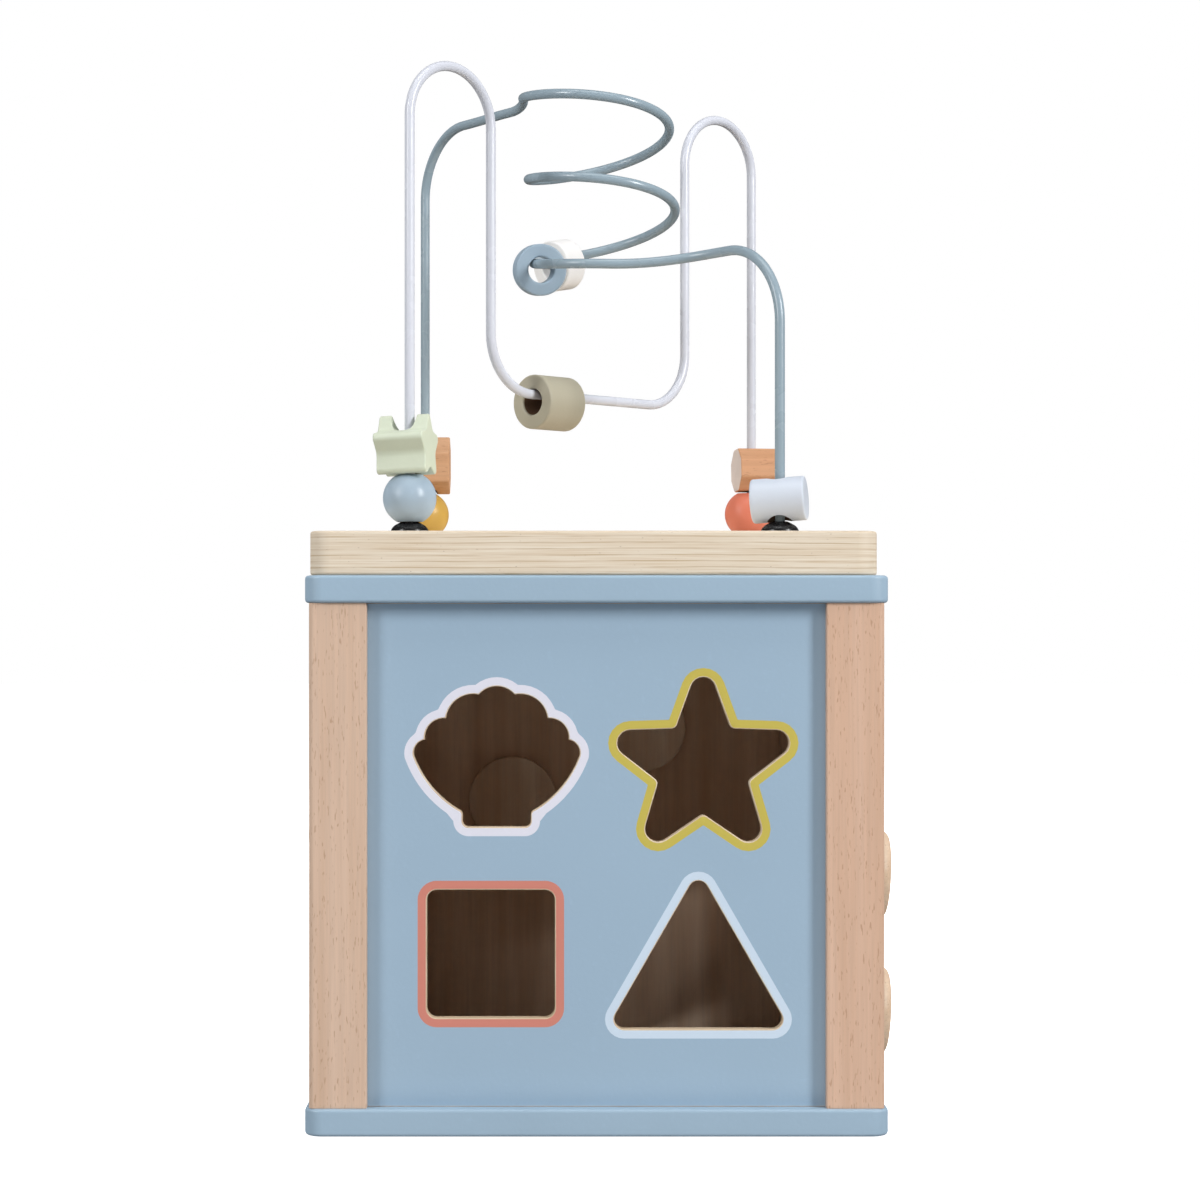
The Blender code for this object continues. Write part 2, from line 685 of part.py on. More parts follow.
def build_threaded_beads(paints, lid_axis):
    """The bead on the white wire's U and the two on the last turn of the coil."""
    across = 21.4 / math.sqrt(2)
    threaded_bead("tube_bead_u", tube_bead(17.5, 9.6, RING_BORE), paints["khaki"],
                  (-across, -across, U_LEVEL - HANG), (1, 1, 0), lid_axis)
    at = coil_point(RING_BEAD_TURNS, RING_SAG) + Vector((1.6, 0.3, 0.4 - HANG))
    threaded_bead("ring_bead_coil", tube_bead(7.6, RING_RADIUS, RING_BORE), paints["blue"],
                  at, (0.19, -0.975, -0.12), lid_axis)
    at = coil_point(WHITE_BEAD_TURNS) + Vector((1.4, 0.7, 0.5 - HANG))
    threaded_bead("white_bead_coil", tube_bead(9.0, RING_RADIUS, RING_BORE), paints["white"],
                  at, coil_heading(WHITE_BEAD_TURNS), lid_axis)


# ------------------------------------------------------------------ blocks

def build_blocks(paints):
    """The four loose blocks, lying on the box's floor."""
    low = PLATE_THICK + GAP
    shapes = {
        "block_shell": (shell(3), (-56.5, -74.0), "white"),
        "block_star": (star_shape(3), (-2.0, -53.0), "yellow"),
        "block_square": (square_shape(3), (-42.0, -2.0), "coral"),
        "block_triangle": (triangle_shape(3), (48.0, -74.0), "ice"),
    }
    for name, (outline, (x, y), paint) in shapes.items():
        bm = prism(inset(outline, BLOCK_CLEARANCE), 0, BLOCK_THICK)
        add_object(name, bm, paints[paint], (x, y, low))


def main():
    clear_scene()
    paints = {
        "box": make_material("box_paint", (157, 180, 199), 0.45),
        "blue": make_material("bead_blue", (160, 180, 196), 0.4),
        "mint": make_material("bead_mint", (206, 214, 195), 0.4),
        "yellow": make_material("bead_yellow", (222, 176, 88), 0.4),
        "coral": make_material("bead_coral", (210, 110, 86), 0.4),
        "khaki": make_material("bead_khaki", (190, 180, 160), 0.4),
        "white": make_material("bead_white", (228, 230, 234), 0.4),
        "ice": make_material("block_ice", (200, 216, 232), 0.4),
        "beech": make_material("beech", (212, 182, 160), 0.55),
    }
    ply = make_material("plywood", (228, 210, 188), 0.55)
    black = make_material("black_plastic", (22, 22, 24), 0.4)
    steel = make_material("zinc_steel", (180, 182, 186), 0.35, 1.0)
    white_coat = make_material("wire_white", (218, 221, 230), 0.3)
    blue_coat = make_material("wire_blue", (145, 166, 176), 0.3)

    base, frame = build_plates(paints["box"])
    build_posts(base, frame, paints["beech"], steel)
    build_front_panel(paints["box"])
    build_right_side(paints["box"], paints["beech"])
    build_back_side(paints["box"], {"left": paints["yellow"], "right": paints["mint"]},
                    paints["beech"])
    build_left_side(paints["box"], paints["coral"], paints["mint"], paints["beech"])
    lid_axis = joint_empty("lid_axis", (0.0, 0.0, LID_LOW))
    build_lid(ply, ply, black, steel, lid_axis)
    build_wire("white_wire", white_route(6), white_coat, lid_axis)
    build_wire("blue_wire", blue_route(6, 16), blue_coat, lid_axis)
    build_stacks(paints, lid_axis)
    build_threaded_beads(paints, lid_axis)
    build_blocks(paints)


main()
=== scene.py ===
"""The looks of the wooden activity cube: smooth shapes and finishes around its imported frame.

Every piece is built in millimetres, in the frame's own axes, and stands for one CAD node.
The front of the box is its -Y side.
"""
import json
import math

import bmesh
import bpy
from mathutils import Euler, Matrix, Vector


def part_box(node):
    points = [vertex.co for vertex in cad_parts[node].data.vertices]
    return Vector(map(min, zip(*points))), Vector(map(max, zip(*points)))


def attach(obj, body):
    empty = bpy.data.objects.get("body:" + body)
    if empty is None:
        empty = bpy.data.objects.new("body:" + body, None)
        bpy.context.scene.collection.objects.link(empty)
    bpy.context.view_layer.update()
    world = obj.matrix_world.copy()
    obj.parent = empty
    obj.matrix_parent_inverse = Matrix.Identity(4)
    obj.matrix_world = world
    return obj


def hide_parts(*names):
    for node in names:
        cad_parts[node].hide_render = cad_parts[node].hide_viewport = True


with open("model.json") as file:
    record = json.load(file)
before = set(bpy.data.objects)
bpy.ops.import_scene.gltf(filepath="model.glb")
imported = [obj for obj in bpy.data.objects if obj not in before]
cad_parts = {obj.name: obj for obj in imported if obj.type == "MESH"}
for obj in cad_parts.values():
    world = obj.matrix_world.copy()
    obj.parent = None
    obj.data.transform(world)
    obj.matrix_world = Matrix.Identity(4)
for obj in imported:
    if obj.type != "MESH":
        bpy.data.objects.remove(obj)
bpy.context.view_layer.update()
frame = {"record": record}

MM = 0.001
ORIGIN = (0.0, 0.0, 0.0)

# Clearances: between parts that move or slide in, and the fine seam between parts that stand
# on each other
GAP = 0.3
SEAM = 0.05

# Steps in every rounded edge, in a shell's lobes, along a wire's bends and to a turn of the coil
EDGE_STEPS = 3
LOBE_STEPS = 10
BEND_STEPS = 28
COIL_STEPS = 96

# Camera: level, in front of the box and a little to its left
CAMERA_AT = (-0.0185, -0.985, 0.1622)
CAMERA_LENS = 81.96
CAMERA_SHIFT = (0.05, 0.0325)

# Light: what the white surround gives, how far the floor shines, and where the lamps aim
WORLD_LIGHT = 0.09
FLOOR_GLOW = 1.0
FLOOR_RADIUS = 9000.0
LIGHT_AIM = (0.0, 0.0, 0.16)
WHITE = (1.0, 1.0, 1.0, 1.0)

# The shape holes: where each one's own origin is, in X and Z, and its size
SHELL_AT = (-32.7, 100.6)
STAR_AT = (35.0, 120.3)
SQUARE_AT = (-34.6, 59.0)
TRIANGLE_AT = (33.4, 34.3)
SQUARE_SIDE = 42.0
TRIANGLE_SIDE = 60.0
STAR_POINT = 37.8
STAR_NOTCH = 15.5
STAR_ROUND = 4.3
RING_WIDTH = 3.0
BLOCK_CLEARANCE = 1.0

# Plates, posts and panels
PLATE_CORNER = 6.0
OPENING_CORNER = 8.0
OPENING_PLAY = 1.4
POST_SIDE = 19.0
POST_CORNER = 1.8
GROOVE_DEPTH = 4.0
PANEL_THICK = 5.0

# Slots and knobs of the right side
SLOT_LENGTH = 108.6
SLOT_WIDTH = 8.6
KNOB_LEAN = 3.0

# Bead maze wires: the legs stand at LEG from the middle in X and Y. The coil's places are in
# turns from its start, and sag is how far the wire hangs there below an even coil
WIRE_RADIUS = 1.7
LEG_HOLE = 2.05
LEG = 62.5
ARCH_TOP = 358.3
ARCH_RADIUS = 19.1
ARCH_INNER = 50.3
U_LEVEL = 248.5
U_RADIUS = 20.0
COIL_RADIUS = 25.9
WHITE_BEAD_TURNS = 1.87
RING_BEAD_TURNS = 2.028
EVEN_TURNS = 1.883
FRONT_TURNS = 2.25
RING_SAG = 1.15
FRONT_SAG = 0.5
COIL_PITCH = 29.5
COIL_CENTRE = (1.25, 0.0)
COIL_DRIFT = (1.95, -1.84)
COIL_START_Z = 358.65
COIL_LEAN = 1.6

# Beads: the radii of their bores, how far the oval's bore is off its middle, how far a threaded
# bead hangs below its wire, and how far along the U its bead is
BALL_BORE = 4.25
CROSS_BORE = 4.75
DRUM_BORE = 4.2
OVAL_BORE = 2.6
OVAL_SHIFT = 2.4
RING_BORE = 4.6
BORE_REACH = 16
HANG = 2.6
TUBE_ALONG_U = 21.4

# Pegs, gears and clock hands
PEG_HOLE = 4.3
TURNING_HOLE = PEG_HOLE + 0.2
DISC_FLOOR = 1.4
GEAR_TEETH = 12
TOOTH_RISE = 3.6
BACKLASH = 0.5
HAND_TAIL = 10

BODY_OF = {node: body for body, nodes in frame["record"]["behaviour"]["bodies"].items()
           for node in nodes}


def node_box(name):
    """A CAD node's lowest and highest corners, in millimetres."""
    low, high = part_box(name)
    return low / MM, high / MM


def node_centre(name):
    low, high = node_box(name)
    return (low + high) / 2


def upright_span():
    """The lowest and highest level of what stands between the plates, with fine seams."""
    return node_box("base_plate")[1].z + SEAM, node_box("top_frame_plate")[0].z - SEAM


# ---- materials

def linear(rgb, light=1.0):
    """An sRGB colour, 0 to 255, as linear values, made lighter or darker by a factor."""
    values = []
    for channel in rgb:
        v = channel / 255.0
        v = v / 12.92 if v <= 0.04045 else ((v + 0.055) / 1.055) ** 2.4
        values.append(min(1.0, v * light))
    return (*values, 1.0)


def surface(name, **sockets):
    """A new material, its node tree and its shader."""
    material = bpy.data.materials.new(name)
    material.use_nodes = True
    tree = material.node_tree
    shader = tree.nodes["Principled BSDF"]
    for socket, value in sockets.items():
        shader.inputs[socket.replace("_", " ")].default_value = value
    return material, tree, shader


def node(tree, kind, inputs, **settings):
    made = tree.nodes.new("ShaderNode" + kind)
    for key, value in settings.items():
        setattr(made, key, value)
    for key, value in inputs.items():
        if isinstance(value, bpy.types.NodeSocket):
            tree.links.new(value, made.inputs[key])
        else:
            made.inputs[key].default_value = value
    return made


def noise(tree, per_metre, detail=2.0, rough=0.5, start=ORIGIN):
    """Noise whose features come this often to the metre along each axis."""
    place = node(tree, "TexCoord", {}).outputs["Object"]
    mapped = node(tree, "Mapping", {"Vector": place, "Scale": per_metre, "Location": start})
    return node(tree, "TexNoise", {"Vector": mapped.outputs[0], "Scale": 1.0, "Detail": detail,
                                   "Roughness": rough}).outputs["Fac"]


def between(tree, value, low, high, to_low=0.0, to_high=1.0):
    """The value carried from one range to another, and kept inside it."""
    return node(tree, "MapRange", {"Value": value, "From Min": low, "From Max": high,
                                   "To Min": to_low, "To Max": to_high}).outputs["Result"]


def clouds(tree, per_metre, detail, to_low=0.0, to_high=1.0, start=ORIGIN):
    """Soft clouds, this many to the metre, carried into a range."""
    patches = noise(tree, (per_metre, per_metre, per_metre), detail, start=start)
    return between(tree, patches, 0.3, 0.7, to_low, to_high)


def mix(tree, factor, first, second):
    mixed = node(tree, "MixRGB", {"Fac": factor, "Color1": first, "Color2": second})
    return mixed.outputs["Color"]


def math_node(tree, operation, first, second=0.0):
    return node(tree, "Math", {0: first, 1: second}, operation=operation).outputs[0]


def finish_surface(tree, shader, colour, roughness, height, strength, distance):
    """Link a colour, a roughness and a height to the shader."""
    tree.links.new(colour, shader.inputs["Base Color"])
    tree.links.new(roughness, shader.inputs["Roughness"])
    bump = node(tree, "Bump", {"Height": height, "Strength": strength, "Distance": distance})
    tree.links.new(bump.outputs["Normal"], shader.inputs["Normal"])


def paint(name, rgb, roughness=0.4, peel=0.22, mottle=0.03):
    """Satin paint sprayed on wood: faint clouds, uneven gloss and orange peel."""
    material, tree, shader = surface(name, Specular_IOR_Level=0.42)
    colour = mix(tree, clouds(tree, 16, 3.0), linear(rgb, 1 - mottle), linear(rgb, 1 + mottle))
    dust = between(tree, noise(tree, (420, 420, 420), start=(3, 1, 2)), 0.6, 0.85, 0, 0.35)
    colour = mix(tree, dust, colour, linear(rgb, 1.12))
    gloss = clouds(tree, 60, 3.0, roughness - 0.05, roughness + 0.06, (5, 0, 1))
    skin = noise(tree, (620, 620, 620), rough=0.45)
    finish_surface(tree, shader, colour, gloss, skin, peel, 0.0002)
    return material


def along(axis, across, lengthwise):
    """Features to the metre for wood whose grain runs along an axis."""
    return tuple(lengthwise if i == "XYZ".index(axis) else across for i in range(3))


def shade(rgb, red, green, blue):
    """A colour with each of its channels scaled."""
    return rgb[0] * red, rgb[1] * green, rgb[2] * blue


def beech(name, rgb, axis, end=None):
    """Varnished beech: bands, fine fibres and dark flecks, and pale end grain if it's given."""
    material, tree, shader = surface(name, Specular_IOR_Level=0.4)
    bands = between(tree, noise(tree, along(axis, 150, 5), 4.0, 0.6), 0.3, 0.7)
    warm = shade(rgb, 0.955, 0.925, 0.89)
    colour = mix(tree, bands, linear(rgb, 1.05), linear(warm))
    fibres = noise(tree, along(axis, 1300, 26), 3.0, 0.6, (2, 7, 4))
    thread = between(tree, fibres, 0.38, 0.66, 0, 0.30)
    colour = mix(tree, thread, colour, linear(rgb, 0.74))
    specks = noise(tree, along(axis, 1900, 330), 1.0, 0.5, (9, 3, 6))
    fleck = between(tree, specks, 0.64, 0.72, 0, 0.5)
    colour = mix(tree, fleck, colour, linear(shade(rgb, 0.76, 0.66, 0.57)))
    if end:
        normal = node(tree, "TexCoord", {}).outputs["Normal"]
        facing = node(tree, "SeparateXYZ", {"Vector": normal}).outputs[axis]
        flat = between(tree, math_node(tree, "ABSOLUTE", facing), 0.75, 0.9)
        colour = mix(tree, flat, colour, mix(tree, bands, linear(end, 1.02), linear(end, 0.94)))
    gloss = between(tree, fibres, 0.3, 0.7, 0.41, 0.54)
    finish_surface(tree, shader, colour, gloss, fibres, 0.28, 0.00012)
    return material


def glue_lines(tree, level, low, plies, thickness):
    """Wavering, patchy lines between the plies, from their levels in metres."""
    level = math_node(tree, "SUBTRACT", level, low * MM)
    level = math_node(tree, "MULTIPLY", level, plies / (thickness * MM))
    wobble = between(tree, noise(tree, (26, 26, 26)), 0.0, 1.0, -0.35, 0.35)
    phase = math_node(tree, "FRACT", math_node(tree, "ADD", level, wobble))
    fold = math_node(tree, "ABSOLUTE", math_node(tree, "SUBTRACT", phase, 0.5))
    patchy = between(tree, noise(tree, (45, 45, 700), 3.0, 0.6, (4, 4, 1)), 0.34, 0.62, 0.12, 0.95)
    return math_node(tree, "MULTIPLY", between(tree, fold, 0.36, 0.49), patchy)


def plywood(name, rgb, low, plies, thickness):
    """Varnished birch plywood: veneer grain along X on its faces, and plies at its edges."""
    material, tree, shader = surface(name, Specular_IOR_Level=0.38)
    coords = node(tree, "TexCoord", {})
    level = node(tree, "SeparateXYZ", {"Vector": coords.outputs["Object"]}).outputs["Z"]
    facing = node(tree, "SeparateXYZ", {"Vector": coords.outputs["Normal"]}).outputs["Z"]
    flat = between(tree, math_node(tree, "ABSOLUTE", facing), 0.6, 0.8)

    veneer = noise(tree, (9, 120, 120), 4.0, 0.62)
    face = mix(tree, between(tree, veneer, 0.3, 0.72), linear(rgb, 1.06),
               linear(shade(rgb, 0.93, 0.885, 0.83)))
    pores = noise(tree, (60, 1500, 1500), 2.0, 0.5, (1, 2, 8))
    face = mix(tree, between(tree, pores, 0.52, 0.7, 0, 0.3), face, linear(rgb, 0.72))

    streaks = noise(tree, (22, 22, 1500), 4.0, 0.65, (6, 2, 3))
    edge = mix(tree, between(tree, streaks, 0.34, 0.66), linear(rgb, 1.05),
               linear(shade(rgb, 0.95, 0.91, 0.86)))
    glue = glue_lines(tree, level, low, plies, thickness)
    edge = mix(tree, glue, edge, linear(shade(rgb, 0.83, 0.75, 0.63)))
    pits = between(tree, noise(tree, (700, 700, 1800), 1.0, 0.5, (8, 8, 8)), 0.75, 0.79, 0, 0.55)
    edge = mix(tree, pits, edge, linear(shade(rgb, 0.6, 0.5, 0.42)))

    gloss = between(tree, veneer, 0.3, 0.7, 0.42, 0.54)
    finish_surface(tree, shader, mix(tree, flat, edge, face), gloss,
                   mix(tree, flat, streaks, pores), 0.3, 0.00014)
    return material


def raw_board(name, rgb, axis):
    """The unpainted inner face of a board: dull, with a soft grain."""
    material, tree, shader = surface(name, Specular_IOR_Level=0.25)
    bands = between(tree, noise(tree, along(axis, 75, 4), 4.0, 0.6, (1, 5, 2)), 0.3, 0.7)
    colour = mix(tree, bands, linear(rgb, 1.06), linear(shade(rgb, 0.88, 0.82, 0.76)))
    fibres = noise(tree, along(axis, 900, 30), 3.0, 0.6)
    colour = mix(tree, between(tree, fibres, 0.45, 0.7, 0, 0.3), colour, linear(rgb, 0.7))
    gloss = between(tree, fibres, 0.3, 0.7, 0.6, 0.75)
    finish_surface(tree, shader, colour, gloss, fibres, 0.35, 0.0002)
    return material


def coated_wire(name, rgb):
    """Smooth powder coat on steel wire, a little uneven along its length."""
    material, tree, shader = surface(name, Specular_IOR_Level=0.5, Coat_Weight=0.15,
                                     Coat_Roughness=0.2)
    colour = mix(tree, clouds(tree, 45, 3.0), linear(rgb, 0.98), linear(rgb, 1.02))
    gloss = clouds(tree, 130, 2.0, 0.22, 0.3)
    skin = noise(tree, (260, 260, 260), 1.0)
    finish_surface(tree, shader, colour, gloss, skin, 0.05, 0.00008)
    return material


def moulded_plastic(name, rgb):
    material, tree, shader = surface(name, Specular_IOR_Level=0.5)
    colour = mix(tree, clouds(tree, 150, 2.0), linear(rgb, 0.85), linear(rgb, 1.25))
    gloss = clouds(tree, 500, 3.0, 0.2, 0.34)
    finish_surface(tree, shader, colour, gloss, noise(tree, (800, 800, 800)), 0.2, 0.0002)
    return material


def plated_steel(name, rgb):
    material, tree, shader = surface(name, Metallic=1.0)
    colour = mix(tree, clouds(tree, 260, 4.0), linear(rgb, 0.85), linear(rgb, 1.08))
    gloss = clouds(tree, 900, 2.0, 0.26, 0.44)
    finish_surface(tree, shader, colour, gloss, noise(tree, (1500, 1500, 1500)), 0.2, 0.0001)
    return material


# ---- outlines

def circle(radius, sides, centre=(0.0, 0.0)):
    """A circle's points, the first of them on the outline's first axis."""
    turn = 2 * math.pi / sides
    return [(centre[0] + radius * math.cos(i * turn), centre[1] + radius * math.sin(i * turn))
            for i in range(sides)]


def rounded_polygon(corners, radii, steps=8):
    """An outline whose corners are arcs that touch both neighbouring sides."""
    points = []
    count = len(corners)
    for i, corner in enumerate(corners):
        here = Vector(corner)
        back = (Vector(corners[i - 1]) - here).normalized()
        ahead = (Vector(corners[(i + 1) % count]) - here).normalized()
        half = back.angle(ahead) / 2
        radius = radii[i % len(radii)]
        middle = here + (back + ahead).normalized() * (radius / math.sin(half))
        start = here + back * (radius / math.tan(half)) - middle
        end = here + ahead * (radius / math.tan(half)) - middle
        sweep = start.angle_signed(end)
        for k in range(steps + 1):
            points.append(tuple(middle + Matrix.Rotation(-sweep * k / steps, 2) @ start))
    return points


def rectangle(width, height, radius, centre=(0.0, 0.0), steps=8):
    x = width / 2
    y = height / 2
    corners = [(-x, -y), (x, -y), (x, y), (-x, y)]
    corners = [(centre[0] + u, centre[1] + v) for u, v in corners]
    return rounded_polygon(corners, [radius], steps)


def star(point, notch, point_round, notch_round):
    """A five-pointed star with one point up."""
    corners = []
    for i in range(10):
        radius = notch if i % 2 else point
        angle = math.pi / 2 + i * math.pi / 5
        corners.append((radius * math.cos(angle), radius * math.sin(angle)))
    return rounded_polygon(corners, [point_round, notch_round])


def bulge(start, end, rise):
    """Points of an arc from start, end left out, that rises to the right of its chord."""
    a = Vector(start)
    b = Vector(end)
    chord = b - a
    if rise == 0:
        return [tuple(a)]
    radius = (chord.length_squared / 4 + rise * rise) / (2 * rise)
    right = Vector((chord.y, -chord.x)).normalized()
    middle = (a + b) / 2 + right * (rise - radius)
    sweep = 2 * math.asin(chord.length / (2 * radius))
    return [tuple(middle + Matrix.Rotation(sweep * k / LOBE_STEPS, 2) @ (a - middle))
            for k in range(LOBE_STEPS)]


def shell():
    """A scallop shell on a short foot, its origin in the middle of the foot's base."""
    half = [(9.2, 0.0, 0.6), (11.2, 2.0, 0.0), (11.2, 4.2, -0.3), (12.6, 5.7, 2.0),
            (27.2, 23.4, 1.3), (23.6, 28.6, 2.3), (16.7, 35.6, 2.9), (5.9, 43.4, 2.7)]
    corners = [(x, z) for x, z, _ in half] + [(-x, z) for x, z, _ in reversed(half)]
    rises = [rise for _, _, rise in half]
    rises = rises + list(reversed(rises[:-1])) + [0.0]
    points = []
    for i, corner in enumerate(corners):
        points += bulge(corner, corners[(i + 1) % len(corners)], rises[i])
    return points


def square_shape():
    return rectangle(SQUARE_SIDE, SQUARE_SIDE, 3.3)


def triangle_shape():
    """An equilateral triangle on its base, its origin in the middle of the base."""
    half = TRIANGLE_SIDE / 2
    corners = [(-half, 0.0), (half, 0.0), (0.0, half * math.sqrt(3))]
    return rounded_polygon(corners, [3.3])


def star_shape():
    return star(STAR_POINT, STAR_NOTCH, STAR_ROUND, 2.0)


def regular(sides, radius, roundness, roll=0.0):
    """A regular outline, level at its top or with a corner up, rolled by an angle in degrees."""
    angles = [math.radians(roll + 360 * (i + 0.5) / sides) for i in range(sides)]
    corners = [(radius * math.cos(a), radius * math.sin(a)) for a in angles]
    return rounded_polygon(corners, [roundness])


def moved(outline, centre):
    """The outline with its origin moved to a place."""
    return [(x + centre[0], y + centre[1]) for x, y in outline]


def inset(outline, distance):
    """The outline moved inwards all round, or outwards by a negative distance."""
    if distance == 0:
        return list(outline)
    points = []
    count = len(outline)
    for i, point in enumerate(outline):
        here = Vector(point)
        behind = (here - Vector(outline[i - 1])).normalized()
        ahead = (Vector(outline[(i + 1) % count]) - here).normalized()
        tangent = (behind + ahead).normalized()
        reach = distance / max(0.5, math.sqrt((1 + behind.dot(ahead)) / 2))
        points.append((here.x - tangent.y * reach, here.y + tangent.x * reach))
    return points


def star_ring():
    """The star's outline moved outwards: its corners keep the star's proportions."""
    edge = Vector((STAR_NOTCH * math.sin(math.pi / 5), STAR_NOTCH * math.cos(math.pi / 5)))
    slope = (edge - Vector((0.0, STAR_POINT))).normalized()
    apothem = abs(slope.x * STAR_POINT)
    scale = 1 + RING_WIDTH / apothem
    return star(STAR_POINT * scale, STAR_NOTCH * scale, STAR_ROUND + RING_WIDTH, 0.3)


def spread(outline):
    """The outline moved outwards by the width of a printed ring, with its notches kept clean."""
    return [p for p in inset(outline, -RING_WIDTH)
            if min((Vector(p) - Vector(q)).length for q in outline) > RING_WIDTH * 0.985]


def softened(points, ease, steps=EDGE_STEPS, closed=False):
    """A profile with its corners rounded; the ends of an open one stay."""
    made = []
    count = len(points)
    for i, point in enumerate(points):
        if not closed and i in (0, count - 1):
            made.append(tuple(point))
            continue
        here = Vector(point)
        back = Vector(points[i - 1]) - here
        ahead = Vector(points[(i + 1) % count]) - here
        reach = min(ease, back.length * 0.45, ahead.length * 0.45)
        start = here + back.normalized() * reach
        end = here + ahead.normalized() * reach
        for k in range(steps + 1):
            t = k / steps
            made.append(tuple(start * (1 - t) ** 2 + here * 2 * t * (1 - t) + end * t * t))
    return made


# ---- solids

def place(axis, a, b, c):
    """A point of an outline (a, b) at height c along an axis, in metres."""
    order = {"X": (c, a, b), "Y": (a, c, b), "Z": (a, b, c)}[axis]
    return Vector(order) * MM


def add_loop(bm, outline, height, axis):
    """The outline's points as vertices at one height along an axis."""
    return [bm.verts.new(place(axis, a, b, height)) for a, b in outline]


def join_loops(bm, first, second, material=0):
    """A band of faces between two loops with as many vertices."""
    count = len(first)
    for i in range(count):
        j = (i + 1) % count
        face = bm.faces.new((first[i], first[j], second[j], second[i]))
        face.material_index = material


def fill_between(bm, loops, material=0):
    """Flat faces inside the first loop and outside the others."""
    edges = []
    for loop in loops:
        for i, vert in enumerate(loop):
            edge = bm.edges.get((loop[i - 1], vert))
            edges.append(edge or bm.edges.new((loop[i - 1], vert)))
    made = bmesh.ops.triangle_fill(bm, edges=edges, use_beauty=True, use_dissolve=False)
    for item in made["geom"]:
        if isinstance(item, bmesh.types.BMFace):
            item.material_index = material


def wall(bm, outline, low, high, axis, ease, side=1, material=0):
    """A wall with rounded edges from low to high; side -1 makes it a hole's wall."""
    stations = []
    for k in range(EDGE_STEPS + 1):
        angle = math.pi / 2 * k / EDGE_STEPS
        stations.append((ease * (1 - math.sin(angle)), low + ease * (1 - math.cos(angle))))
    stations += [(back, high + low - height) for back, height in reversed(stations)]
    loops = [add_loop(bm, inset(outline, side * back), height, axis) for back, height in stations]
    for first, second in zip(loops, loops[1:]):
        join_loops(bm, first, second, material)
    return loops[0], loops[-1]


def board(outline, low, high, axis="Z", holes=(), ease=0.5, hole_ease=0.3):
    """A closed board with rounded edges and holes through it."""
    bm = bmesh.new()
    ends = [wall(bm, outline, low, high, axis, ease)]
    ends += [wall(bm, hole, low, high, axis, hole_ease, -1) for hole in holes]
    fill_between(bm, [bottom for bottom, _ in ends])
    fill_between(bm, [top for _, top in ends])
    bmesh.ops.recalc_face_normals(bm, faces=bm.faces)
    return bm


def turned(profile, sides=48, axis="Z", closed=False):
    """A turned solid: (radius, height) points, ending on the axis or closed round a bore."""
    bm = bmesh.new()
    rings = []
    for radius, height in profile:
        outline = circle(radius, sides) if radius > 1e-6 else [(0.0, 0.0)]
        rings.append(add_loop(bm, outline, height, axis))
    pairs = list(zip(rings, rings[1:]))
    if closed:
        pairs.append((rings[-1], rings[0]))
    for lower, upper in pairs:
        for i in range(sides):
            corners = [lower[i % len(lower)], lower[(i + 1) % sides % len(lower)],
                       upper[(i + 1) % sides % len(upper)], upper[i % len(upper)]]
            bm.faces.new(list(dict.fromkeys(corners)))
    bmesh.ops.recalc_face_normals(bm, faces=bm.faces)
    return bm


def add_object(name, data, location=ORIGIN, rotation=ORIGIN):
    """An object in the scene, at a place in metres."""
    obj = bpy.data.objects.new(name, data)
    obj.location = location
    obj.rotation_euler = rotation
    bpy.context.scene.collection.objects.link(obj)
    return obj


def make_object(name, bm, materials, location=ORIGIN, rotation=ORIGIN):
    """A mesh, smooth but for its edges, at a place in millimetres."""
    mesh = bpy.data.meshes.new(name)
    bm.to_mesh(mesh)
    bm.free()
    mesh.shade_smooth()
    mesh.set_sharp_from_angle(angle=math.radians(35))
    for material in materials:
        mesh.materials.append(material)
    return add_object(name, mesh, Vector(location) * MM, rotation)


def stand_for(piece, name):
    """The piece is shown in place of the CAD node, which is hidden: it rides on the node's body."""
    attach(piece, BODY_OF[name])
    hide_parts(name)


def add_piece(name, bm, materials, location=ORIGIN, rotation=ORIGIN):
    """A finished piece that stands for a CAD node."""
    if isinstance(materials, bpy.types.Material):
        materials = [materials]
    piece = make_object(name + "_fine", bm, materials, location, rotation)
    piece.modifiers.new("even_flats", "WEIGHTED_NORMAL").keep_sharp = True
    stand_for(piece, name)


def bored(bm, radius, middle):
    """The solid with an upright bore cut through it, in a second material."""
    piece = make_object("bored_piece", bm, [])
    rod = [(0, -BORE_REACH), (radius, -BORE_REACH), (radius, BORE_REACH), (0, BORE_REACH)]
    cutter = make_object("bore_cutter", turned(rod, 64), [], (*middle, 0.0))
    modifier = piece.modifiers.new("bore", "BOOLEAN")
    modifier.operation = "DIFFERENCE"
    modifier.solver = "EXACT"
    modifier.object = cutter
    graph = bpy.context.evaluated_depsgraph_get()
    result = bmesh.new()
    result.from_mesh(piece.evaluated_get(graph).to_mesh())
    for obj in (piece, cutter):
        mesh = obj.data
        bpy.data.objects.remove(obj)
        bpy.data.meshes.remove(mesh)
    return mark_bore(result, radius, middle)


def mark_bore(bm, radius, middle=(0.0, 0.0)):
    """Give the second material to the faces of an upright bore."""
    limit = (radius + 0.02) * MM
    for face in bm.faces:
        if all((v.co.xy - Vector(middle) * MM).length < limit for v in face.verts):
            face.material_index = 1
    return bm


# ---- box

CORNERS = {"front_left": (-1, -1), "front_right": (1, -1),
           "back_left": (-1, 1), "back_right": (1, 1)}


def screw_holes():
    """Where the plates' screws go through, a little wider than their heads."""
    holes = []
    for corner in CORNERS:
        low, high = node_box("base_screw_" + corner)
        centre = (low + high) / 2
        holes.append(circle((high.x - low.x) / 2 + GAP, 32, (centre.x, centre.y)))
    return holes


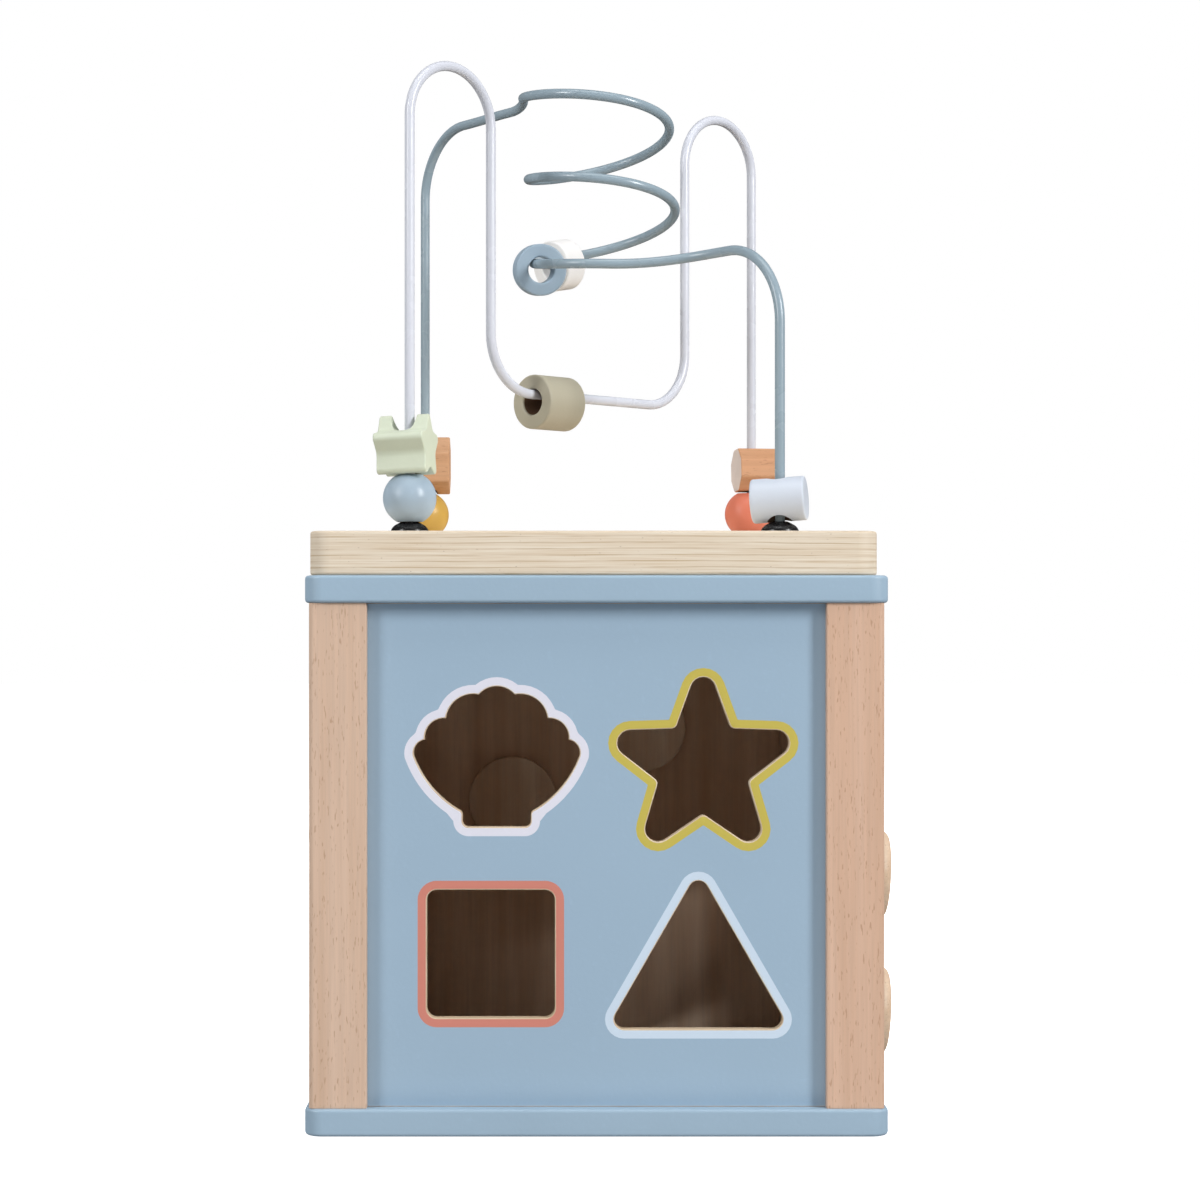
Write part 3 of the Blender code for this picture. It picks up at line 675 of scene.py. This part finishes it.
def build_plates(finishes):
    """The base plate, and the top plate with the opening that takes the lid's lower board."""
    for name, filler in (("base_plate", None), ("top_frame_plate", node_box("lid_locating_board"))):
        low, high = node_box(name)
        holes = screw_holes()
        if filler:
            width = filler[1].x - filler[0].x + OPENING_PLAY
            holes.append(rectangle(width, width, OPENING_CORNER))
        outline = rectangle(high.x - low.x, high.y - low.y, PLATE_CORNER, steps=10)
        add_piece(name, board(outline, low.z, high.z, holes=holes, ease=1.1), finishes["box"])


def post_outline(sx, sy, outer):
    """A square post with a groove in each inner face for the panels."""
    inner = outer - POST_SIDE
    panel = abs(node_box("front_panel")[0].y)
    groove_low = panel - PANEL_THICK - GAP
    groove_high = panel + GAP
    depth = inner + GROOVE_DEPTH
    quarter = [(inner, inner), (groove_low, inner), (groove_low, depth),
               (groove_high, depth), (groove_high, inner), (outer - 0.6, inner),
               (outer - 0.2, inner + 0.2), (outer, inner + 0.6)]
    arc = circle(POST_CORNER, 32, (outer - POST_CORNER, outer - POST_CORNER))[:9]
    mirrored = [(y, x) for x, y in reversed(quarter[1:])]
    outline = [(x * sx, y * sy) for x, y in quarter + arc + mirrored]
    return outline if sx * sy > 0 else outline[::-1]


def build_posts(finishes):
    """Four corner posts; the front right one's wood is a shade deeper."""
    for corner, (sx, sy) in CORNERS.items():
        outer = max(abs(side.x) for side in node_box("post_" + corner))
        bm = board(post_outline(sx, sy, outer), *upright_span(), ease=0.01)
        wood = "post_right" if corner == "front_right" else "post"
        add_piece("post_" + corner, bm, finishes[wood])


def cross_outline(reach, half):
    """The recess of a cross-head screw, its arms twice half wide."""
    return [(reach, -half), (reach, half), (half, half), (half, reach),
            (-half, reach), (-half, half), (-reach, half), (-reach, -half),
            (-half, -half), (-half, -reach), (half, -reach), (half, -half)]


def screw_head(radius, length):
    """A countersunk cross-head screw, its head's face at the origin and its point up."""
    bm = bmesh.new()
    cross = cross_outline(radius * 0.62, radius * 0.13)
    profile = [(radius - 0.15, 0.0), (radius, 0.15), (radius, 0.35), (1.8, 3.0), (1.8, length - 2)]
    rings = [add_loop(bm, circle(r, 32), height, "Z") for r, height in profile]
    for first, second in zip(rings, rings[1:]):
        join_loops(bm, first, second)
    tip = bm.verts.new(place("Z", 0, 0, length))
    for i, vert in enumerate(rings[-1]):
        bm.faces.new((rings[-1][i - 1], vert, tip))
    mouth = add_loop(bm, cross, 0.0, "Z")
    depth = add_loop(bm, inset(cross, 0.05), 1.3, "Z")
    join_loops(bm, mouth, depth)
    fill_between(bm, [rings[0], mouth])
    fill_between(bm, [depth])
    bmesh.ops.recalc_face_normals(bm, faces=bm.faces)
    return bm


def build_screws(finishes):
    """The plates' screws: from below through the base, and from above through the frame."""
    for corner in CORNERS:
        for end, turn in (("base", 0.0), ("frame", math.pi)):
            name = "%s_screw_%s" % (end, corner)
            low, high = node_box(name)
            centre = (low + high) / 2
            at = (centre.x, centre.y, high.z if turn else low.z)
            bm = screw_head((high.x - low.x) / 2, high.z - low.z)
            add_piece(name, bm, finishes["steel"], at, (turn, 0.0, 0.3 * len(corner)))


def panel(name, axis, outside, holes, finishes, rims=()):
    """A panel: painted outside, raw inside, with a (shape, outline) ring printed round each hole."""
    low, high = node_box(name)
    across = 0 if axis == "Y" else 1
    near = low["XYZ".index(axis)]
    far = high["XYZ".index(axis)]
    foot, head = upright_span()
    outline = [(low[across], foot), (high[across], foot), (high[across], head), (low[across], head)]
    bm = bmesh.new()
    outer, inner = wall(bm, outline, near, far, axis, 0.2, 1, 1)[::-outside]
    painted = [outer]
    raw = [inner]
    for i, hole in enumerate(holes):
        outer, inner = wall(bm, hole, near, far, axis, 0.35, -1, 2)[::-outside]
        raw.append(inner)
        if rims:
            rim = add_loop(bm, rims[i][1], near if outside < 0 else far, axis)
            fill_between(bm, [rim, outer], 3 + i)
            outer = rim
        painted.append(outer)
    fill_between(bm, painted, 0)
    fill_between(bm, raw, 1)
    bmesh.ops.recalc_face_normals(bm, faces=bm.faces)
    keys = ["panel" if rims else "box", "raw", "cut"] + ["print_" + shape for shape, _ in rims]
    add_piece(name, bm, [finishes[key] for key in keys])


def build_front_panel(finishes):
    """The panel with the four shape holes, each ringed with its own print."""
    shapes = {"shell": (shell(), SHELL_AT), "star": (star_shape(), STAR_AT),
              "square": (square_shape(), SQUARE_AT), "triangle": (triangle_shape(), TRIANGLE_AT)}
    holes = []
    rims = []
    for shape, (outline, at) in shapes.items():
        ring = star_ring() if shape == "star" else spread(outline)
        holes.append(moved(outline, at))
        rims.append((shape, moved(ring, at)))
    panel("front_panel", "Y", -1, holes, finishes, rims)


def build_right_side(finishes):
    """The slotted panel and its two leaning knobs, each with a retainer inside."""
    centres = {level: node_centre("slider_knob_" + level) for level in ("upper", "lower")}
    slots = [rectangle(SLOT_LENGTH, SLOT_WIDTH, SLOT_WIDTH / 2 - 0.01, (0.0, centre.z), 10)
             for centre in centres.values()]
    panel("right_panel", "X", 1, slots, finishes)
    outer = node_box("right_panel")[1].x
    knob = [(0, -11.0), (3.7, -11.0), (3.7, 2.6), (14.2, 2.6), (15.75, 4.4),
            (15.75, 10.6), (13.8, 12.6), (0, 12.8)]
    retainer = [(4.0, -10.4), (12.0, -10.4), (12.0, -6.4), (4.0, -6.4)]
    lean = (0.0, math.radians(KNOB_LEAN), 0.0)
    for level, centre in centres.items():
        at = (outer, centre.y, centre.z)
        add_piece("slider_knob_" + level, turned(softened(knob, 1.4, 4), 64, "X"),
                  finishes["disc"], at, lean)
        add_piece("slider_retainer_" + level,
                  turned(softened(retainer, 0.6, closed=True), 48, "X", True),
                  finishes["disc"], at, lean)


def blind_disc(radius):
    """The profile of a disc glued inside a panel, with a blind hole for its peg."""
    face = -PANEL_THICK - GAP
    back = face - PANEL_THICK
    ease = 0.7
    return [(0, back), (radius - ease, back), (radius - ease * 0.3, back + ease * 0.3),
            (radius, back + ease), (radius, face), (PEG_HOLE, face),
            (PEG_HOLE, back + DISC_FLOOR), (0, back + DISC_FLOOR)]


def gear_outline(phase, pitch):
    """Blunt wooden teeth; the rounded flanks are part of a raised cosine."""
    samples = 24
    points = []
    for i in range(GEAR_TEETH * samples):
        angle = 2 * math.pi * i / (GEAR_TEETH * samples)
        wave = 1.5 * math.cos(GEAR_TEETH * (angle - phase))
        radius = pitch + max(-1.0, min(1.0, wave)) * TOOTH_RISE - BACKLASH
        points.append((radius * math.cos(angle), radius * math.sin(angle)))
    return points


def build_back_side(finishes):
    """Two gears in mesh, each turning on a peg glued into a disc inside the box."""
    pegs = {side: node_centre("gear_peg_" + side) for side in ("left", "right")}
    holes = [circle(PEG_HOLE, 32, (peg.x, peg.z)) for peg in pegs.values()]
    panel("back_panel", "Y", 1, holes, finishes)
    outer = node_box("back_panel")[1].y
    left, right = (Vector((peg.x, peg.z)) for peg in pegs.values())
    towards = math.atan2(right.y - left.y, right.x - left.x)
    phases = {"left": towards, "right": towards + math.pi + math.pi / GEAR_TEETH}
    head = [(0, -8.6), (4.0, -8.6), (4.0, 8.9), (7.6, 8.9), (8.4, 9.9), (6.6, 11.6), (0, 12.2)]
    for side, peg in pegs.items():
        low, high = node_box("gear_" + side)
        at = (peg.x, outer, peg.z)
        outline = gear_outline(phases[side], (right - left).length / 2)
        bm = board(outline, low.y - outer, high.y - outer, "Y",
                   [circle(TURNING_HOLE, 32)], 0.9, 0.4)
        add_piece("gear_" + side, bm, finishes["gear_" + side], at)
        add_piece("gear_peg_" + side, turned(softened(head, 1.0), 48, "Y"), finishes["disc"], at)
        add_piece("gear_disc_" + side, turned(blind_disc(17.2), 64, "Y"), finishes["inner_disc"], at)


def hand_outline(length, half):
    """A clock hand pointing up, twice half wide, with a round tail and a blunt point."""
    corners = [(-half, -HAND_TAIL), (half, -HAND_TAIL), (half, length - 5), (0.0, length + 2),
               (-half, length - 5)]
    return rounded_polygon(corners, [half - 0.2, half - 0.2, 2.5, 1.5, 2.5])


def build_left_side(finishes):
    """A clock: two hands that turn one above the other on a peg."""
    peg = node_centre("clock_peg")
    panel("left_panel", "X", -1, [circle(PEG_HOLE, 32, (peg.y, peg.z))], finishes)
    outer = node_box("left_panel")[0].x
    at = (outer, peg.y, peg.z)
    hands = (("clock_hour_hand", 26, 8.0, math.radians(50), "hour"),
             ("clock_minute_hand", 40, 7.0, math.radians(-60), "minute"))
    for name, length, half, turn, colour in hands:
        low, high = node_box(name)
        bm = board(hand_outline(length, half), low.x - outer, high.x - outer, "X",
                   [circle(TURNING_HOLE, 32)], 0.7, 0.3)
        add_piece(name, bm, finishes[colour], at, (turn, 0.0, 0.0))
    profile = [(0, 8.6), (4.0, 8.6), (4.0, -8.9), (6.6, -8.9), (7.2, -9.8), (5.6, -11.4),
               (0, -11.9)]
    add_piece("clock_peg", turned(softened(profile, 1.0), 48, "X"), finishes["disc"], at)
    disc = [(radius, -height) for radius, height in blind_disc(13.0)]
    add_piece("clock_disc", turned(disc, 48, "X"), finishes["inner_disc"], at)


# ---- lid

def build_lid(finishes):
    """Both boards of the lid, and a foot and a nut on each wire leg."""
    holes = [circle(LEG_HOLE, 24, (sx * LEG, sy * LEG)) for sx, sy in CORNERS.values()]
    for name, corner, ease in (("lid_board", 7.0, 0.9), ("lid_locating_board", 8.0, 0.5)):
        low, high = node_box(name)
        centre = (low + high) / 2
        base = low.z if name == "lid_locating_board" else node_box("top_frame_plate")[1].z + SEAM
        outline = rectangle(high.x - low.x, high.y - low.y, corner, (centre.x, centre.y), 10)
        add_piece(name, board(outline, base, high.z, holes=holes, ease=ease, hole_ease=0.2),
                  finishes["ply"])
    foot = [(LEG_HOLE, 0.3), (6.3, 0.3), (6.45, 0.9), (6.1, 1.9), (5.2, 2.9), (4.1, 3.5),
            (3.0, 4.1), (LEG_HOLE, 4.4)]
    top = node_box("lid_board")[1].z
    for corner, (sx, sy) in CORNERS.items():
        at = (sx * LEG, sy * LEG, top)
        bm = turned(softened(foot, 0.6, closed=True), closed=True)
        add_piece("wire_foot_" + corner, bm, finishes["black"], at)
        low, high = node_box("wire_nut_" + corner)
        bm = board(rounded_polygon(circle(4.0, 6), [0.25], 3), low.z, high.z,
                   holes=[circle(2.0, 24)], ease=0.35)
        add_piece("wire_nut_" + corner, bm, finishes["steel"], (sx * LEG, sy * LEG, 0.0))


def sweep_through(stations):
    """Points along a wire: straight between stations in line, and curved between the rest."""
    points = [Vector(stations[0][0])]
    for (p0, d0), (p1, d1) in zip(stations, stations[1:]):
        p0, d0, p1, d1 = (Vector(v) for v in (p0, d0, p1, d1))
        chord = p1 - p0
        if chord.angle(d0) < 0.01 and chord.angle(d1) < 0.01:
            points.append(p1)
            continue
        reach = chord.length * 0.39
        a = p0 + d0.normalized() * reach
        b = p1 - d1.normalized() * reach
        for k in range(1, BEND_STEPS + 1):
            t = k / BEND_STEPS
            s = 1 - t
            points.append(p0 * s ** 3 + a * 3 * s * s * t + b * 3 * s * t * t + p1 * t ** 3)
    return points


def coil_point(turns, sag=0.0):
    """A point of the coil: it winds down from its left side, and leans a little."""
    angle = math.pi + 2 * math.pi * turns
    c = math.cos(angle)
    s = math.sin(angle)
    return Vector((COIL_CENTRE[0] + COIL_DRIFT[0] * turns + COIL_RADIUS * c,
                   COIL_CENTRE[1] + COIL_DRIFT[1] * turns + COIL_RADIUS * s,
                   COIL_START_Z - COIL_PITCH * turns + COIL_LEAN * (c - s) - sag))


def coil_heading(turns):
    """The way the even coil runs at a point."""
    step = 0.001
    return (coil_point(turns + step) - coil_point(turns - step)).normalized()


def white_route(end):
    """Two arches and a U between them, in the upright plane on the diagonal."""
    headings = {"up": (0, 0, 1), "down": (0, 0, -1), "across": (1, 1, 0)}
    opposite = {"up": "down", "down": "up", "across": "across"}
    outer = LEG * math.sqrt(2)
    spring = ARCH_TOP - ARCH_RADIUS
    left = [(-outer, end, "up"), (-outer, spring, "up"),
            (-(outer + ARCH_INNER) / 2, ARCH_TOP, "across"), (-ARCH_INNER, spring, "down"),
            (-ARCH_INNER, U_LEVEL + U_RADIUS, "down"), (U_RADIUS - ARCH_INNER, U_LEVEL, "across")]
    right = [(-u, z, opposite[way]) for u, z, way in reversed(left)]
    return sweep_through([((u / math.sqrt(2), u / math.sqrt(2), z), headings[way])
                          for u, z, way in left + right])


def blue_route(end):
    """Up the back left leg, across, round the coil and down the front right leg."""
    towards = (0.611, -0.791, 0)
    first = [((-LEG, LEG, end), (0, 0, 1)), ((-LEG, LEG, 330.0), (0, 0, 1)),
             ((-47.2, 42.7, 355.3), towards), ((-29.5, 19.8, 355.8), towards),
             ((-24.5, 6.0, 357.2), (0, -1, 0)), (coil_point(0), coil_heading(0))]
    last = [(coil_point(EVEN_TURNS), coil_heading(EVEN_TURNS)),
            (coil_point(RING_BEAD_TURNS, RING_SAG), (0.174, -0.985, -0.16)),
            (coil_point(FRONT_TURNS, FRONT_SAG), (1, 0, -0.02)),
            ((46.8, -42.3, 296.2), towards), ((LEG, -LEG, 269.5), (0, 0, -1)),
            ((LEG, -LEG, end), (0, 0, -1))]
    count = round(EVEN_TURNS * COIL_STEPS)
    coil = [coil_point(EVEN_TURNS * k / count) for k in range(1, count)]
    return sweep_through(first) + coil + sweep_through(last)


def build_wire(name, points, material):
    """A round wire along the points, in millimetres."""
    curve = bpy.data.curves.new(name, "CURVE")
    curve.dimensions = "3D"
    curve.bevel_depth = WIRE_RADIUS * MM
    curve.bevel_resolution = 12
    curve.use_fill_caps = True
    spline = curve.splines.new("POLY")
    spline.points.add(len(points) - 1)
    for item, point in zip(spline.points, points):
        item.co = (*(point * MM), 1.0)
    spline.use_smooth = True
    curve.materials.append(material)
    stand_for(add_object(name + "_fine", curve), name)


def build_wires(finishes):
    """Both wires of the maze, each from under the lid up and back down."""
    end = node_box("white_wire")[0].z
    build_wire("white_wire", white_route(end), finishes["white_wire"])
    build_wire("blue_wire", blue_route(end), finishes["blue_wire"])


# ---- beads

def ball_profile(radius):
    """A ball's closed profile round its bore."""
    low = math.acos(BALL_BORE / radius)
    arcs = [-low + 2 * low * k / 32 for k in range(33)]
    return [(radius * math.cos(a), radius * math.sin(a)) for a in arcs]


def tube_bead(length, radius):
    """A bead turned round a wide bore."""
    half = length / 2
    profile = [(RING_BORE, -half), (radius, -half), (radius, half), (RING_BORE, half)]
    return turned(softened(profile, 0.8, 4, True), 64, closed=True)


def cross_bead(name, bm, materials, at, turns, bore, bore_shift=0.0):
    """A bead that lies across its wire; the second material is what its bore shows."""
    rotation = Euler([math.radians(turn) for turn in turns])
    middle = rotation.to_matrix().inverted() @ Vector((bore_shift, 0.0, 0.0))
    add_piece(name, bored(bm, bore, middle.xy), materials, at, rotation)


def build_stacks(finishes):
    """The beads on the four upright legs: three balls with a bead on top, and one alone."""
    bore = finishes["bore"]
    for corner, finish in (("front_left", "blue"), ("back_left", "yellow"), ("back_right", "coral")):
        low, high = node_box("ball_bead_" + corner)
        bm = turned(ball_profile((high.x - low.x) / 2), 64, closed=True)
        add_piece("ball_bead_" + corner, mark_bore(bm, BALL_BORE), (finishes[finish], bore),
                  (low + high) / 2)
    tops = {
        "star_bead_front_left": (star(12.8, 6.8, 1.7, 3.0), 17.2, (-1.3, 226.9), (0, -2, -13),
                                 (CROSS_BORE, 0.0), "mint"),
        "hexagon_bead_back_left": (regular(6, 11.1, 1.2, 6), 19.0, (0.0, 228.6), (0, 0, 0),
                                   (CROSS_BORE, 0.0), "hexagon"),
        "oval_bead_back_right": (regular(8, 8.8, 1.5), 17.0, (OVAL_SHIFT, 226.75), (-4, 0, 10),
                                 (OVAL_BORE, -OVAL_SHIFT), "oval"),
    }
    for name, (outline, length, (shift, height), turns, hole, finish) in tops.items():
        sx, sy = CORNERS[name.split("_bead_")[1]]
        bm = board(outline, -length / 2, length / 2, "X", ease=0.5)
        inside = finishes["mint"] if finish == "mint" else bore
        cross_bead(name, bm, (finishes[finish], inside), (sx * LEG + shift, sy * LEG, height),
                   turns, *hole)
    profile = softened([(0, -9.2), (7.5, -9.2), (7.5, 9.2), (0, 9.2)], 0.9, 4)
    cross_bead("drum_bead_front_right", turned(profile, 64, "X"), (finishes["white"], bore),
               (LEG - 0.25, -LEG, 209.2), (-10, -3.5, -13), DRUM_BORE)


def build_threaded_beads(finishes):
    """The bead on the white wire's U and the two on the last turn of the coil."""
    across = TUBE_ALONG_U / math.sqrt(2)
    ring = coil_point(RING_BEAD_TURNS, RING_SAG) + Vector((1.6, 0.3, 0.4 - HANG))
    white = coil_point(WHITE_BEAD_TURNS) + Vector((1.4, 0.7, 0.5 - HANG))
    beads = (("tube_bead_u", 17.5, 9.6, (-across, -across, U_LEVEL - HANG), (1, 1, 0), "khaki"),
             ("ring_bead_coil", 7.6, 9.2, ring, (0.19, -0.975, -0.12), "ring"),
             ("white_bead_coil", 9.0, 9.2, white, coil_heading(WHITE_BEAD_TURNS), "coil_white"))
    for name, length, radius, at, heading, finish in beads:
        rotation = Vector(heading).to_track_quat("Z", "Y").to_euler()
        inside = finishes["bore"] if finish == "khaki" else finishes[finish]
        add_piece(name, mark_bore(tube_bead(length, radius), RING_BORE),
                  (finishes[finish], inside), at, rotation)


def build_blocks(finishes):
    """The four loose blocks, lying on the box's floor."""
    shapes = {"block_shell": (shell(), (-56.5, -74.0)), "block_star": (star_shape(), (-2.0, -53.0)),
              "block_square": (square_shape(), (-42.0, -2.0)),
              "block_triangle": (triangle_shape(), (48.0, -74.0))}
    for name, (outline, (x, y)) in shapes.items():
        low, high = node_box(name)
        bm = board(inset(outline, BLOCK_CLEARANCE), low.z, high.z, ease=0.8)
        add_piece(name, bm, finishes[name], (x, y, 0.0))


# ---- stage

def build_floor():
    """A white floor that the camera sees and the object's light doesn't."""
    bm = bmesh.new()
    fill_between(bm, [add_loop(bm, circle(FLOOR_RADIUS, 96), -GAP, "Z")])
    material, tree, shader = surface("floor_white", Roughness=0.8, Specular_IOR_Level=0.1,
                                     Emission_Color=WHITE, Emission_Strength=FLOOR_GLOW)
    colour = mix(tree, clouds(tree, 3, 2.0), linear((243, 243, 244)), linear((246, 246, 247)))
    tree.links.new(colour, shader.inputs["Base Color"])
    floor = make_object("floor", bm, [material])
    floor.visible_diffuse = False
    floor.visible_shadow = False
    floor.visible_glossy = False


def softbox(name, at, width, height, power, mirrored=True):
    """An area light aimed at the object, which glossy surfaces mirror or don't."""
    light = bpy.data.lights.new(name, "AREA")
    light.shape = "RECTANGLE"
    light.size = width
    light.size_y = height
    light.energy = power
    aim = (Vector(LIGHT_AIM) - at).to_track_quat("-Z", "Y").to_euler()
    add_object(name, light, at, aim).visible_glossy = mirrored


def around(azimuth, elevation, distance):
    """A place seen from the object's middle, its azimuth counted from the front to the right."""
    level = distance * math.cos(math.radians(elevation))
    turn = math.radians(azimuth)
    return Vector(LIGHT_AIM) + Vector((level * math.sin(turn), -level * math.cos(turn),
                                       distance * math.sin(math.radians(elevation))))


def build_lights():
    """A tall softbox on each side in front, soft fill all round, a top light and a surround."""
    softbox("left_softbox", around(-51, 24, 1.7), 0.45, 0.75, 13.1)
    softbox("right_softbox", around(52, 24, 1.7), 0.35, 0.75, 21.4)
    softbox("front_fill", around(0, 2, 2.3), 1.6, 0.6, 1.4)
    softbox("top_softbox", around(0, 74, 1.8), 1.4, 0.7, 10.0)
    softbox("bounce_card", around(0, -42, 1.4), 1.6, 0.8, 5.6, mirrored=False)
    softbox("back_fill", around(180, 25, 2.0), 1.6, 0.8, 24.0, mirrored=False)
    softbox("left_back_fill", around(-118, 22, 1.9), 0.9, 0.9, 12.0, mirrored=False)
    softbox("right_back_fill", around(118, 22, 1.9), 0.9, 0.9, 12.0, mirrored=False)
    world = bpy.data.worlds.new("white_surround")
    world.use_nodes = True
    tree = world.node_tree
    seen = node(tree, "Background", {"Color": WHITE, "Strength": 1.0})
    lit = tree.nodes["Background"]
    lit.inputs["Color"].default_value = WHITE
    lit.inputs["Strength"].default_value = WORLD_LIGHT
    rays = node(tree, "LightPath", {})
    choice = node(tree, "MixShader", {0: rays.outputs["Is Camera Ray"], 1: lit.outputs[0],
                                      2: seen.outputs[0]})
    tree.links.new(choice.outputs[0], tree.nodes["World Output"].inputs["Surface"])
    bpy.context.scene.world = world
    bpy.context.scene.view_settings.view_transform = "Standard"


def build_camera():
    """The camera, level, with its picture shifted to frame the object."""
    data = bpy.data.cameras.new("camera")
    data.lens = CAMERA_LENS
    data.shift_x, data.shift_y = CAMERA_SHIFT
    level = (math.radians(90), 0.0, 0.0)
    bpy.context.scene.camera = add_object("camera", data, CAMERA_AT, level)


# Paints: each one's name, its sRGB colour, and its roughness, orange peel and clouding
PAINTS = {
    "box": ("box_paint", (158, 182, 201)),
    "panel": ("panel_paint", (157, 181, 201), 0.4, 0.22, 0.015),
    "blue": ("bead_blue", (165, 184, 200), 0.38),
    "ring": ("ring_blue", (156, 176, 192), 0.38),
    "mint": ("bead_mint", (210, 218, 197), 0.42),
    "yellow": ("bead_yellow", (203, 163, 79)),
    "coral": ("bead_coral", (221, 126, 101)),
    "khaki": ("bead_khaki", (178, 172, 152), 0.42),
    "white": ("bead_white", (207, 215, 227), 0.38),
    "coil_white": ("bead_coil_white", (251, 249, 247), 0.38),
    "gear_left": ("gear_yellow", (222, 176, 96)),
    "gear_right": ("gear_mint", (206, 216, 196)),
    "hour": ("hand_coral", (212, 120, 98)),
    "minute": ("hand_mint", (206, 216, 196)),
    "print_shell": ("print_lavender", (224, 224, 236), 0.34, 0.1, 0.01),
    "print_star": ("print_mustard", (198, 182, 86), 0.34, 0.1, 0.01),
    "print_square": ("print_coral", (208, 133, 118), 0.34, 0.1, 0.01),
    "print_triangle": ("print_ice", (204, 220, 236), 0.34, 0.1, 0.01),
    "block_shell": ("block_white", (228, 230, 236)),
    "block_star": ("block_yellow", (222, 190, 96)),
    "block_square": ("block_coral", (210, 130, 112)),
    "block_triangle": ("block_ice", (200, 216, 232)),
}


def make_finishes():
    """Every material, under the name that the pieces ask for."""
    finishes = {key: paint(*settings) for key, settings in PAINTS.items()}
    low, high = node_box("lid_board")
    finishes.update({
        "bore": raw_board("raw_bore", (122, 98, 78), "Z"),
        "hexagon": beech("beech_hexagon", (208, 163, 127), "X"),
        "oval": beech("beech_oval", (212, 161, 123), "X", (222, 208, 200)),
        "post": beech("beech_post", (217, 189, 168), "Z"),
        "post_right": beech("beech_post_right", (217, 183, 160), "Z"),
        "disc": beech("beech_disc", (226, 200, 174), "Y"),
        "inner_disc": raw_board("raw_disc", (252, 232, 212), "Z"),
        "raw": raw_board("raw_panel", (242, 216, 192), "Z"),
        "cut": raw_board("cut_edge", (226, 212, 188), "X"),
        "ply": plywood("birch_ply", (227, 216, 199), low.z, 7, high.z - low.z),
        "black": moulded_plastic("black_plastic", (20, 20, 22)),
        "steel": plated_steel("zinc_steel", (186, 188, 192)),
        "white_wire": coated_wire("white_coat", (216, 219, 229)),
        "blue_wire": coated_wire("blue_coat", (149, 167, 178)),
    })
    return finishes


build_camera()
build_lights()
build_floor()
all_finishes = make_finishes()
for build in (build_plates, build_posts, build_screws, build_front_panel, build_right_side,
              build_back_side, build_left_side, build_lid, build_wires, build_stacks,
              build_threaded_beads, build_blocks):
    build(all_finishes)
